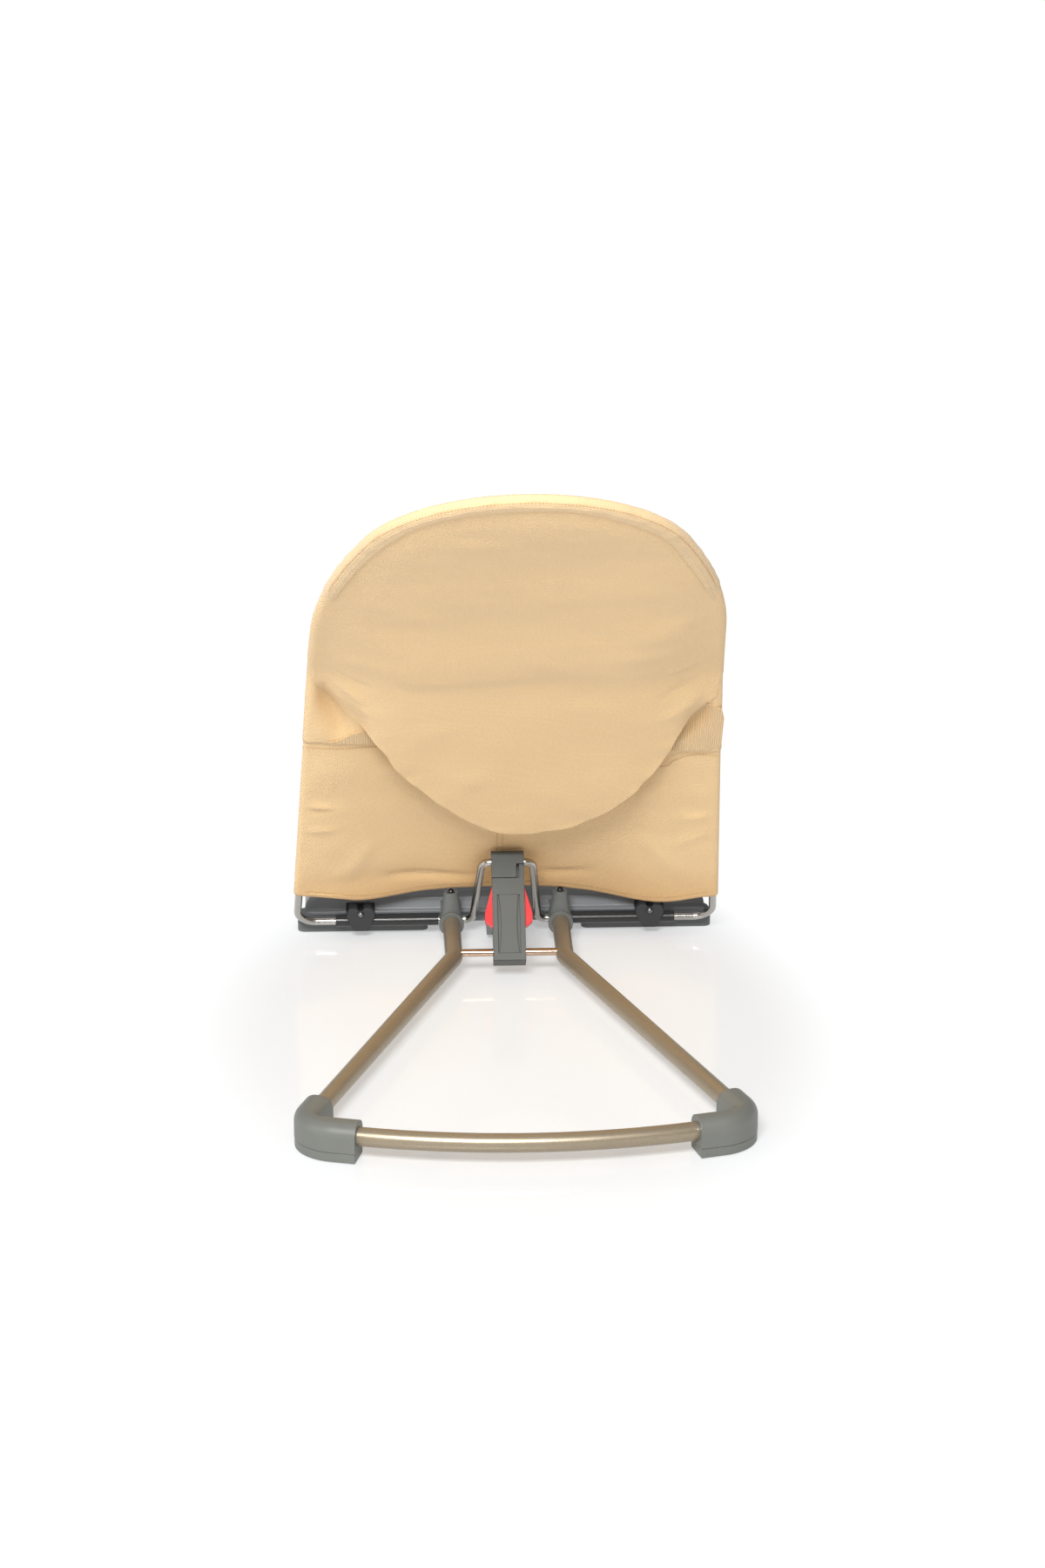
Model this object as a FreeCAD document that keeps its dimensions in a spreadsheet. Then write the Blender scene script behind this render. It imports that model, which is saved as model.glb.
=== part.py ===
"""Folding baby bouncer seat: a tube base, a hinged wire seat with a fabric cover, and a notched prop strut.

Millimetres, +Z up. The sitter's feet point to -Y and the head to +Y, so the sitter's left is +X.
The origin is on the floor under the middle of the whole seat.
"""
import FreeCAD, Part
import math
import os

import Sketcher
from FreeCAD import Placement, Rotation, Vector

SIZES = {
    # hinge line of the seat
    "hinge_y": -246.0,
    "hinge_z": 15.0,
    # base tube
    "tube_diameter": 16.0,
    "tube_wall": 1.25,
    "tube_axis_z": 20.0,
    "tube_start": 5.0,
    "tube_half_gap": 50.0,
    "tube_bend_reach": 109.0,
    "tube_bend_radius": 28.0,
    "leg_angle": 19.7,
    "corner_half_width": 186.0,
    "corner_radius": 35.0,
    "crossbar_angle": 15.0,
    "crossbar_radius": 530.0,
    # cross rod that the strut rests on
    "rod_diameter": 7.0,
    "rod_reach": 102.6,
    "rod_z": 22.0,
    "rod_half_length": 46.0,
    # front cross-member, sockets and feet
    "beam_length": 368.0,
    "beam_top": 36.0,
    "beam_bottom": 8.5,
    "beam_end_radius": 11.0,
    "socket_radius": 10.5,
    "socket_length": 22.5,
    "boss_reach": 13.0,
    "boss_top": 47.0,
    "set_screw_diameter": 4.0,
    "set_screw_head": 7.2,
    "clamp_screw_diameter": 3.0,
    "clamp_screw_head": 6.2,
    "clamp_offset": 133.0,
    "clamp_depth": 17.8,
    "foot_inner": 71.0,
    "foot_outer": 191.0,
    "foot_thickness": 7.9,
    "foot_depth": 45.0,
    "grip_thickness": 1.8,
    # rear feet
    "rear_foot_half_width": 13.0,
    "rear_foot_split": 9.0,
    "rear_foot_height": 24.0,
    "rear_foot_leg_reach": 46.0,
    "rear_foot_bar_reach": 50.0,
    "rear_foot_round": 11.0,
    "rear_sole_thickness": 7.6,
    "rear_grip_thickness": 2.6,
    "foot_screw_diameter": 2.4,
    "foot_screw_head": 4.0,
    # seat wire
    "wire_diameter": 7.0,
    "front_half_width": 191.5,
    "front_corner_radius": 17.0,
    "lower_angle": 53.0,
    "upper_angle": 38.2,
    "bend_length": 403.0,
    "bend_radius": 150.0,
    "side_half_width": 161.0,
    "side_length": 593.0,
    "side_radius": 590.0,
    "head_half_width": 88.5,
    "head_length": 770.0,
    "head_radius": 130.5,
    "bracket_height": 96.0,
    "bracket_top_half": 23.0,
    "bracket_foot_half": 30.0,
    "sleeve_diameter": 10.0,
    "sleeve_start": 61.5,
    "sleeve_length": 94.5,
    # fabric cover
    "casing_diameter": 11.0,
    "hem_length": 36.0,
    "panel_thickness": 2.4,
    "pocket_thickness": 3.2,
    "pad_thickness": 8.0,
    "bib_thickness": 5.0,
    "button_diameter": 18.0,
    "button_thickness": 4.0,
    "gusset_width": 18.0,
    "gusset_length": 20.0,
    "gusset_thickness": 1.5,
    # prop strut
    "strut_angle": -50.8,
    "strut_width": 29.0,
    "strut_end": 95.0,
    "strut_top": 7.0,
    "strut_wall": 2.5,
    "strut_depth": 15.0,
    "eye_radius": 7.2,
    "middle_notch": 62.0,
    "near_notch": 45.0,
    "notch_radius": 3.75,
    "cap_width": 29.5,
    "cap_top": 8.0,
    "cap_screw_diameter": 2.5,
    "cap_screw_head": 4.6,
    "running_clearance": 0.05,
    # release wings
    "wing_height": 5.6,
    "wing_pin_diameter": 2.5,
    "wing_pivot_offset": 10.0,
    "wing_pivot_reach": 22.0,
    "spring_diameter": 4.8,
    "spring_bore": 3.4,
    "spring_length": 16.4,
}

document = FreeCAD.newDocument("BouncerSeat")
sheet = document.addObject("Spreadsheet::Sheet", "Sizes")
for row, (alias, value) in enumerate(SIZES.items(), start=1):
    sheet.set(f"A{row}", alias)
    sheet.set(f"B{row}", str(value))
    sheet.setAlias(f"B{row}", alias)
document.recompute()

X_AXIS = Vector(1, 0, 0)
Y_AXIS = Vector(0, 1, 0)
Z_AXIS = Vector(0, 0, 1)
SIDES = {"left": 1, "right": -1}
sub_parts = []


def size(alias):
    """A driving dimension as it stands in the sheet."""
    return float(sheet.get(alias))


def keep(sub_part):
    """Put an object on the list of sub-parts that are written out."""
    sub_parts.append(sub_part)
    return sub_part


# ---------------------------------------------------------------- outlines and paths

def corner_arc(before, corner, after, radius):
    """Start, middle and end of the arc that rounds a corner between two straight runs."""
    incoming = (corner - before).normalize()
    outgoing = (after - corner).normalize()
    half_turn = incoming.getAngle(outgoing) / 2
    reach = radius * math.tan(half_turn)
    inward = (outgoing - incoming).normalize()
    middle = corner + inward * (radius / math.cos(half_turn) - radius)
    return corner - incoming * reach, middle, corner + outgoing * reach


def rounded_path(corners, closed):
    """Lines and tangent arcs through corners, each given as (point, radius)."""
    count = len(corners)
    stops = []
    for index, (corner, radius) in enumerate(corners):
        is_end = not closed and index in (0, count - 1)
        if is_end or radius == 0:
            stops.append((corner, None, corner))
        else:
            before = corners[index - 1][0]
            after = corners[(index + 1) % count][0]
            stops.append(corner_arc(before, corner, after, radius))
    curves = []
    for index, (start, middle, end) in enumerate(stops):
        if middle is not None:
            curves.append(Part.Arc(start, middle, end))
        following = stops[(index + 1) % count][0]
        is_last = not closed and index == count - 1
        if not is_last and end.distanceToPoint(following) > 1e-4:
            curves.append(Part.LineSegment(end, following))
    return curves


def flat(points):
    """Corner list in the XY plane from (x, y) or (x, y, radius) entries."""
    return [(Vector(entry[0], entry[1], 0), entry[2] if len(entry) > 2 else 0) for entry in points]


def corner_waste(corner, radius, across, up):
    """Outline of what a rounded corner takes away; across and up point out of the solid."""
    over = 1.0
    arc_start = corner + Vector(0, -up * radius, 0)
    arc_end = corner + Vector(-across * radius, 0, 0)
    centre = Vector(arc_end.x, arc_start.y, 0)
    middle = centre + (corner - centre).normalize() * radius
    rim = [arc_end, arc_end + Vector(0, up * over, 0), corner + Vector(across * over, up * over, 0),
           arc_start + Vector(across * over, 0, 0), arc_start]
    return [Part.Arc(arc_start, middle, arc_end)] + [Part.LineSegment(*pair) for pair in zip(rim, rim[1:])]


def path_wire(curves):
    return Part.Wire([curve.toShape() for curve in curves])


def swept_rod(wire, radius):
    """Solid round bar along an open wire of tangent lines and arcs."""
    first = wire.OrderedEdges[0]
    start = first.valueAt(first.FirstParameter)
    direction = first.tangentAt(first.FirstParameter)
    if wire.OrderedVertexes[0].Point.distanceToPoint(start) > 1e-6:
        start = first.valueAt(first.LastParameter)
        direction = first.tangentAt(first.LastParameter) * -1
    section = Part.Wire([Part.makeCircle(radius, start, direction)])
    return wire.makePipeShell([section], True, False)


# ---------------------------------------------------------------- document helpers

def plane_of(body, role):
    return next(plane for plane in body.Origin.OriginFeatures if plane.Role == role)


def new_body(label, placement=Placement()):
    body = document.addObject("PartDesign::Body", label)
    body.Placement = placement
    return body


def new_sketch(body, role, name, offset=Vector()):
    """Sketch on one of the body's origin planes, moved by an offset in the sketch's own axes."""
    sketch = body.newObject("Sketcher::SketchObject", name)
    sketch.AttachmentSupport = [(plane_of(body, role), "")]
    sketch.MapMode = "FlatFace"
    sketch.AttachmentOffset = Placement(offset, Rotation())
    return sketch


def draw(sketch, curves):
    """Add curves to a sketch and join the ends that meet."""
    first = sketch.GeometryCount
    for curve in curves:
        sketch.addGeometry(curve)
    ends = [(index, end) for index in range(first, sketch.GeometryCount) for end in (1, 2)]
    for place, (index, end) in enumerate(ends):
        for other_index, other_end in ends[place + 1:]:
            gap = sketch.getPoint(index, end).distanceToPoint(sketch.getPoint(other_index, other_end))
            if other_index != index and gap < 1e-4:
                sketch.addConstraint(Sketcher.Constraint("Coincident", index, end, other_index, other_end))


def draw_circle(sketch, name, radius_expression, centre=Vector()):
    """Circle whose radius is bound to the sheet."""
    index = sketch.addGeometry(Part.Circle(centre, Z_AXIS, 1))
    radius = sketch.addConstraint(Sketcher.Constraint("Radius", index, 1))
    sketch.renameConstraint(radius, name)
    sketch.setExpression(f"Constraints.{name}", radius_expression)


def extrude(body, kind, sketch, name, length, side="One side"):
    """Pad or Pocket whose length is bound to the sheet."""
    feature = body.newObject(f"PartDesign::{kind}", name)
    feature.Profile = sketch
    feature.SideType = side
    feature.setExpression("Length", length)
    body.Tip = feature
    document.recompute()
    return feature


def body_box(body, kind, name, low, high):
    """Additive or subtractive box between two corners in the body's own axes."""
    feature = body.newObject(f"PartDesign::{kind}Box", name)
    feature.Length, feature.Width, feature.Height = high - low
    feature.Placement = Placement(low, Rotation())
    body.Tip = feature
    document.recompute()
    return feature


def body_cylinder(body, kind, name, radius, base, direction, height):
    """Additive or subtractive cylinder in the body's own axes, its radius bound to the sheet."""
    feature = body.newObject(f"PartDesign::{kind}Cylinder", name)
    feature.setExpression("Radius", radius)
    feature.Height = height
    feature.Placement = Placement(base, Rotation(Z_AXIS, direction))
    body.Tip = feature
    document.recompute()
    return feature


def round_edges(body, name, radius, chosen):
    """Fillet the edges of the body's tip that a test picks."""
    base = body.Tip
    names = [f"Edge{index}" for index, edge in enumerate(base.Shape.Edges, start=1) if chosen(edge)]
    feature = body.newObject("PartDesign::Fillet", name)
    feature.Base = (base, names)
    feature.setExpression("Radius", radius)
    body.Tip = feature
    document.recompute()
    return feature


def cylinder(name, radius, height, base, direction=Z_AXIS):
    """Part cylinder, its radius and height bound to the sheet."""
    solid = document.addObject("Part::Cylinder", name)
    solid.setExpression("Radius", radius)
    solid.setExpression("Height", height)
    solid.Placement = Placement(base, Rotation(Z_AXIS, direction))
    return solid


def box(name, length, width, height, base, rotation=Rotation()):
    """Part box, its sides bound to the sheet."""
    solid = document.addObject("Part::Box", name)
    solid.setExpression("Length", length)
    solid.setExpression("Width", width)
    solid.setExpression("Height", height)
    solid.Placement = Placement(base, rotation)
    return solid


def boolean(kind, name, shapes):
    """Part MultiFuse, Compound or Cut of document objects."""
    result = document.addObject(f"Part::{kind}", name)
    if kind == "Cut":
        result.Base, result.Tool = shapes
    elif kind == "Compound":
        result.Links = shapes
    else:
        result.Shapes = shapes
    return result


def feature_from(name, shape, placement=Placement()):
    """Part feature that holds a computed shape."""
    feature = document.addObject("Part::Feature", name)
    feature.Shape = shape
    feature.Placement = placement
    return feature


def at_hinge(x, reach, z):
    """Point a given distance behind the hinge line, at a given height over the floor."""
    return Vector(x, size("hinge_y") + reach, z)


# ---------------------------------------------------------------- base tube and rod

def tube_corners(side):
    """Half of the bent tube's centreline, from a socket to the middle of the crossbar."""
    gap = size("tube_half_gap")
    corner_x = size("corner_half_width")
    bend_reach = size("tube_bend_reach")
    corner_reach = bend_reach + (corner_x - gap) / math.tan(math.radians(size("leg_angle")))
    rise = corner_x * math.tan(math.radians(size("crossbar_angle")))
    hinge_y = size("hinge_y")
    return flat([
        (side * gap, hinge_y + size("tube_start")),
        (side * gap, hinge_y + bend_reach, size("tube_bend_radius")),
        (side * corner_x, hinge_y + corner_reach, size("corner_radius")),
        (0, hinge_y + corner_reach + rise, size("crossbar_radius")),
    ])


def tube_path():
    left = tube_corners(1)
    right = tube_corners(-1)
    return rounded_path(left + right[-2::-1], closed=False)


def make_base_tube():
    """One bent tube: two ends for the sockets, two splayed legs and a bowed rear crossbar."""
    body = new_body("base_tube", Placement(Vector(0, 0, size("tube_axis_z")), Rotation()))
    spine = new_sketch(body, "XY_Plane", "TubeLine")
    curves = tube_path()
    draw(spine, curves)
    start = tube_corners(1)[0][0]
    section = new_sketch(body, "XZ_Plane", "TubeSection", Vector(start.x, 0, -start.y))
    draw_circle(section, "Outer", "Sizes.tube_diameter / 2")
    draw_circle(section, "Inner", "Sizes.tube_diameter / 2 - Sizes.tube_wall")
    document.recompute()
    pipe = body.newObject("PartDesign::AdditivePipe", "BentTube")
    pipe.Profile = section
    pipe.Spine = (spine, [f"Edge{index + 1}" for index in range(len(curves))])
    body.Tip = pipe
    document.recompute()
    rod_height = size("rod_z") - size("tube_axis_z")
    hole_centre = Vector(size("hinge_y") + size("rod_reach"), rod_height, 0)
    hole = new_sketch(body, "YZ_Plane", "RodHole", hole_centre)
    draw_circle(hole, "Rod", "Sizes.rod_diameter / 2")
    before = pipe.Shape.Volume
    drilled = extrude(body, "Pocket", hole, "RodHoles", "2 * Sizes.tube_half_gap", "Symmetric")
    assert drilled.Shape.Volume < before, "the rod holes cut nothing"
    keep(body)


def make_cross_rod():
    start = at_hinge(-size("rod_half_length"), size("rod_reach"), size("rod_z"))
    keep(cylinder("cross_rod", "Sizes.rod_diameter / 2", "2 * Sizes.rod_half_length", start, X_AXIS))


# ---------------------------------------------------------------- front cross-member

def make_front_crossmember():
    """Moulded beam with a lip along its rear edge, open below the lip for the seat's hinge wire."""
    body = new_body("front_crossmember", Placement(Vector(0, size("hinge_y"), 0), Rotation()))
    top = size("beam_top")
    bottom = size("beam_bottom")
    lip = 20.0
    profile = new_sketch(body, "YZ_Plane", "BeamSection")
    draw(profile, rounded_path(flat([
        (-4.5, lip), (-4.5, lip + 2.4, 0.8), (-7.5, lip + 3.6, 1.5), (-11, top - 2.5, 3), (-17, top, 6),
        (-34, top, 9), (-50, top - 13, 10), (-52, bottom, 2), (-12, bottom, 1), (-12, lip, 2),
    ]), closed=True))
    document.recompute()
    extrude(body, "Pad", profile, "Beam", "Sizes.beam_length", "Symmetric")
    end_x = size("beam_length") / 2
    end_round = size("beam_end_radius")
    rear_view = new_sketch(body, "XZ_Plane", "TopCorners")
    plan_view = new_sketch(body, "XY_Plane", "FrontCorners")
    for side in SIDES.values():
        draw(rear_view, corner_waste(Vector(side * end_x, top, 0), end_round, side, 1))
        draw(plan_view, corner_waste(Vector(side * end_x, -52, 0), end_round, side, -1))
    document.recompute()
    for name, view in (("RoundTop", rear_view), ("RoundFront", plan_view)):
        before = body.Tip.Shape.Volume
        cut = extrude(body, "Pocket", view, name, "Sizes.beam_length", "Symmetric")
        assert cut.Shape.Volume < before, f"{name} cuts nothing"
    for name, side in SIDES.items():
        clamp_x = side * size("clamp_offset")
        socket_x = side * size("tube_half_gap")
        body_box(body, "Subtractive", f"ClampSeat_{name}",
                 Vector(clamp_x - 13.2, -12.2, bottom - 1), Vector(clamp_x + 13.2, 0, 29.4))
        body_box(body, "Subtractive", f"SocketSeat_{name}",
                 Vector(socket_x - 9, -14, 19.8), Vector(socket_x + 9, 0, 30))
        low_x, high_x = sorted((side * 12.0, side * 17.5))
        body_box(body, "Additive", f"CatchArm_{name}",
                 Vector(low_x, -14, 5.5), Vector(high_x, 16, bottom + 0.5))
        body_box(body, "Additive", f"CatchTip_{name}", Vector(low_x, 13, 5.5), Vector(high_x, 16, 15))
    keep(body)


def make_socket(name, side):
    """Bearing block that holds one end of the base tube, with an upright screw boss."""
    x = side * size("tube_half_gap")
    axis_z = size("tube_axis_z")
    block = box(f"SocketBlock_{name}", "18", "18.5", "10.2", at_hinge(x - 9, -14, 19.8))
    barrel = cylinder(f"SocketBarrel_{name}", "Sizes.socket_radius", "Sizes.socket_length",
                      at_hinge(x, 4.5, axis_z), Y_AXIS)
    ring = cylinder(f"SocketRing_{name}", "Sizes.socket_radius + 0.9", "3", at_hinge(x, 24, axis_z), Y_AXIS)
    boss = document.addObject("Part::Cone", f"SocketBoss_{name}")
    boss.setExpression("Radius1", "Sizes.socket_radius - 0.8")
    boss.setExpression("Radius2", "Sizes.socket_radius - 4")
    boss.setExpression("Height", "Sizes.boss_top - Sizes.tube_axis_z - 4")
    boss.Placement = Placement(at_hinge(x, size("boss_reach"), axis_z + 4), Rotation())
    solid = boolean("MultiFuse", f"SocketSolid_{name}", [block, barrel, ring, boss])
    bore = cylinder(f"SocketBore_{name}", "Sizes.tube_diameter / 2", "30", at_hinge(x, 5, axis_z), Y_AXIS)
    screw_hole = cylinder(f"SocketScrewHole_{name}", "Sizes.set_screw_diameter / 2", "Sizes.boss_top",
                          at_hinge(x, size("boss_reach"), axis_z))
    holes = boolean("MultiFuse", f"SocketHoles_{name}", [bore, screw_hole])
    keep(boolean("Cut", f"socket_{name}", (solid, holes)))


def make_socket_screws():
    """Two set screws with domed heads, one in each socket's boss."""
    screws = []
    shank_foot = size("tube_axis_z") + size("tube_diameter") / 2
    shank_length = "Sizes.boss_top - Sizes.tube_axis_z - Sizes.tube_diameter / 2"
    for name, side in SIDES.items():
        foot = at_hinge(side * size("tube_half_gap"), size("boss_reach"), shank_foot)
        top = at_hinge(foot.x, size("boss_reach"), size("boss_top"))
        shank = cylinder(f"SetScrewShank_{name}", "Sizes.set_screw_diameter / 2", shank_length, foot)
        head = document.addObject("Part::Sphere", f"SetScrewHead_{name}")
        head.setExpression("Radius", "Sizes.set_screw_head / 2")
        head.Angle1 = 0
        head.Placement = Placement(top, Rotation())
        screws.append(boolean("MultiFuse", f"SetScrew_{name}", [shank, head]))
    keep(boolean("Compound", "socket_screws", screws))


def make_hinge_clamp(name, side):
    """Two-lobed bearing block that carries the hinge sleeve below the cross-member's lip."""
    centre_x = side * size("clamp_offset")
    hinge_z = size("hinge_z")
    rear = 7.0
    body = new_body(f"hinge_clamp_{name}", Placement(Vector(centre_x, size("hinge_y"), 0), Rotation()))
    face = new_sketch(body, "XZ_Plane", "ClampFace", Vector(0, 0, -rear))
    draw(face, rounded_path(flat([
        (-13, 21.5, 3), (-11, 29.2, 3), (-3.5, 29.2, 1.5), (0, 25.6, 1), (3.5, 29.2, 1.5), (11, 29.2, 3),
        (13, 21.5, 3), (6.5, 7.4, 3), (-6.5, 7.4, 3),
    ]), closed=True))
    document.recompute()
    extrude(body, "Pad", face, "ClampBlock", "Sizes.clamp_depth")
    body_cylinder(body, "Subtractive", "HingeBore", "Sizes.sleeve_diameter / 2 + Sizes.running_clearance",
                  Vector(-20, 0, hinge_z), X_AXIS, 40)
    body_cylinder(body, "Subtractive", "ScrewHole", "Sizes.clamp_screw_diameter / 2",
                  Vector(0, -20, 23.8), Y_AXIS, 40)
    keep(body)


def make_clamp_screws():
    """One domed screw through the top of each hinge clamp."""
    screws = []
    for name, side in SIDES.items():
        x = side * size("clamp_offset")
        shank = cylinder(f"ClampScrewShank_{name}", "Sizes.clamp_screw_diameter / 2", "Sizes.clamp_depth",
                         at_hinge(x, -10.8, 23.8), Y_AXIS)
        head = document.addObject("Part::Sphere", f"ClampScrewHead_{name}")
        head.setExpression("Radius", "Sizes.clamp_screw_head / 2")
        head.Angle1 = 0
        head.Placement = Placement(at_hinge(x, 7, 23.8), Rotation(Z_AXIS, Y_AXIS))
        screws.append(boolean("MultiFuse", f"ClampScrew_{name}", [shank, head]))
    keep(boolean("Compound", "clamp_screws", screws))


def make_front_foot(name, side):
    """Flat foot plate under the cross-member, with a raised tab at its rear edge."""
    body = new_body(f"front_foot_{name}", Placement(Vector(0, size("hinge_y"), 0), Rotation()))
    inner = side * size("foot_inner")
    outer = side * size("foot_outer")
    rear = -11.0
    front = rear - size("foot_depth")
    underside = size("beam_bottom") - size("foot_thickness")
    plan = new_sketch(body, "XY_Plane", "PlatePlan", Vector(0, 0, underside))
    corners = [(inner, front, 12), (outer, front, 14), (outer, rear, 7), (inner, rear, 6)]
    draw(plan, rounded_path(flat(corners), closed=True))
    document.recompute()
    extrude(body, "Pad", plan, "Plate", "Sizes.foot_thickness")
    low_x, high_x = sorted((side * 161, side * 176))
    body_box(body, "Additive", "Tab", Vector(low_x, rear - 0.8, 7), Vector(high_x, rear, 11))
    low_x, high_x = sorted((inner + side * 10, outer - side * 10))
    body_box(body, "Subtractive", "GripSeat",
             Vector(low_x, front + 10, 0), Vector(high_x, rear - 11, size("grip_thickness")))
    keep(body)
    grip = box(f"front_grip_{name}", "Sizes.foot_outer - Sizes.foot_inner - 20", "Sizes.foot_depth - 21",
               "Sizes.grip_thickness", at_hinge(low_x, front + 10, 0))
    keep(grip)


# ---------------------------------------------------------------- rear feet

def foot_frame(side):
    """The tube's rear corner, and the directions of the leg and the crossbar away from it."""
    corners = tube_corners(side)
    corner = corners[2][0]
    along_leg = (corners[1][0] - corner).normalize()
    along_bar = (corners[3][0] - corner).normalize()
    return corner, along_leg, along_bar


def foot_outline(side, inset):
    """Plan of a rear foot: an elbow of even width with a big outer and a small inner corner."""
    corner, along_leg, along_bar = foot_frame(side)
    half = size("rear_foot_half_width") - inset
    leg_end = corner + along_leg * (size("rear_foot_leg_reach") - inset)
    bar_end = corner + along_bar * (size("rear_foot_bar_reach") - inset)
    leg_out = Vector(-along_leg.y, along_leg.x, 0) * side
    bar_out = Vector(along_bar.y, -along_bar.x, 0) * side
    outward = (along_leg + along_bar).normalize() * -1
    mitre = half / math.cos(leg_out.getAngle(outward))
    return [
        (leg_end - leg_out * half, 0),
        (leg_end + leg_out * half, 0),
        (corner + outward * mitre, 40 - inset),
        (bar_end + bar_out * half, 0),
        (bar_end - bar_out * half, 0),
        (corner - outward * mitre, 6 + inset),
    ]


def foot_screw_places(side):
    """Two screws in the outer wall of a rear foot, beside the tube."""
    corner, along_leg, along_bar = foot_frame(side)
    leg_out = Vector(-along_leg.y, along_leg.x, 0) * side
    bar_out = Vector(along_bar.y, -along_bar.x, 0) * side
    wall_middle = (size("rear_foot_half_width") + size("tube_diameter") / 2) / 2
    in_leg = corner + along_leg * 42 + leg_out * wall_middle
    in_bar = corner + along_bar * 44 + bar_out * wall_middle
    return [in_leg, in_bar]


def make_rear_foot(name, side, tube_core, screw_holes):
    """Moulded elbow over the tube's corner, a sole under it and a rubber grip in the sole."""
    split = size("rear_foot_split")
    cover = new_body(f"FootShell_{name}")
    plan = new_sketch(cover, "XY_Plane", f"FootPlan_{name}", Vector(0, 0, split))
    draw(plan, rounded_path(foot_outline(side, 0), closed=True))
    document.recompute()
    extrude(cover, "Pad", plan, f"FootBlock_{name}", "Sizes.rear_foot_height")
    corner, along_leg, along_bar = foot_frame(side)
    top = split + size("rear_foot_height")
    ends = [
        corner + along_leg * size("rear_foot_leg_reach"),
        corner + along_bar * size("rear_foot_bar_reach"),
    ]

    def on_top_and_not_on_an_end(edge):
        middle = edge.CenterOfMass
        level = edge.BoundBox.ZMin > top - 0.01
        return level and all((middle - Vector(end.x, end.y, top)).Length > 1 for end in ends)

    round_edges(cover, f"FootRound_{name}", "Sizes.rear_foot_round", on_top_and_not_on_an_end)
    hollow = boolean("MultiFuse", f"FootHollow_{name}", [tube_core, screw_holes])
    keep(boolean("Cut", f"rear_foot_cover_{name}", (cover, hollow)))

    sole = new_body(f"SoleSlab_{name}")
    underside = split - 0.4 - size("rear_sole_thickness")
    sole_plan = new_sketch(sole, "XY_Plane", f"SolePlan_{name}", Vector(0, 0, underside))
    draw(sole_plan, rounded_path(foot_outline(side, 0.3), closed=True))
    document.recompute()
    extrude(sole, "Pad", sole_plan, f"SoleBlock_{name}", "Sizes.rear_sole_thickness")
    turn = math.degrees(math.atan2(along_bar.y, along_bar.x))
    grip_start = corner + along_bar * 25 + Vector(-along_bar.y, along_bar.x, 0) * -7
    grip_turn = Rotation(Z_AXIS, turn)
    grip = box(f"rear_grip_{name}", "22", "14", "Sizes.rear_grip_thickness", grip_start, grip_turn)
    keep(grip)
    sole_cuts = boolean("MultiFuse", f"SoleHoles_{name}", [grip, screw_holes])
    keep(boolean("Cut", f"rear_foot_sole_{name}", (sole, sole_cuts)))


def make_rear_feet():
    """Both rear feet, and the four screws that hold each shell to its sole."""
    core_wire = path_wire(tube_path())
    core_shape = swept_rod(core_wire, size("tube_diameter") / 2)
    core_placement = Placement(Vector(0, 0, size("tube_axis_z")), Rotation())
    tube_core = feature_from("TubeCore", core_shape, core_placement)
    screws = []
    for name, side in SIDES.items():
        side_screws = []
        for number, place in enumerate(foot_screw_places(side)):
            foot = Vector(place.x, place.y, 2)
            shank = cylinder(f"FootScrewShank_{name}{number}", "Sizes.foot_screw_diameter / 2", "18", foot)
            head = cylinder(f"FootScrewHead_{name}{number}", "Sizes.foot_screw_head / 2", "1.4", foot)
            side_screws.append(boolean("MultiFuse", f"FootScrew_{name}{number}", [shank, head]))
        screw_pair = boolean("Compound", f"FootScrewPair_{name}", side_screws)
        make_rear_foot(name, side, tube_core, screw_pair)
        screws += side_screws
    keep(boolean("Compound", "foot_screws", screws))


# ---------------------------------------------------------------- seat wire

def lower_placement():
    """Seat axes on the lower part: X across, Y up the seat from the hinge, Z towards the sitter."""
    return Placement(at_hinge(0, 0, size("hinge_z")), Rotation(X_AXIS, size("lower_angle")))


def upper_placement():
    """Seat axes on the upper part, with the same length along the seat as the lower part."""
    bend = lower_placement().multVec(Vector(0, size("bend_length"), 0))
    turn = Rotation(X_AXIS, size("upper_angle"))
    return Placement(bend - turn.multVec(Vector(0, size("bend_length"), 0)), turn)


def seat_point(x, along, out=0.0):
    """Point on the bent seat: across, along from the hinge, and out towards the sitter."""
    if along < size("bend_length"):
        return lower_placement().multVec(Vector(x, along, out))
    if along > size("bend_length"):
        return upper_placement().multVec(Vector(x, along, out))
    half_turn = math.radians(size("lower_angle") - size("upper_angle")) / 2
    middle_angle = (size("lower_angle") + size("upper_angle")) / 2
    lift = Rotation(X_AXIS, middle_angle).multVec(Vector(0, 0, out / math.cos(half_turn)))
    return lower_placement().multVec(Vector(x, along, 0)) + lift


def side_x(along):
    """Half width of the wire on its straight side."""
    share = along / size("side_length")
    return size("front_half_width") + share * (size("side_half_width") - size("front_half_width"))


def loop_corners(side, first_along):
    """One side of the wire loop, from a given length up the seat to the middle of the head."""
    bend = size("bend_length")
    corners = [
        (first_along, side_x(first_along), 0), (bend, side_x(bend), size("bend_radius")),
        (size("side_length"), size("side_half_width"), size("side_radius")),
        (size("head_length"), size("head_half_width"), size("head_radius")), (size("head_length"), 0, 0),
    ]
    return [(seat_point(side * x, along), radius) for along, x, radius in corners]


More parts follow.
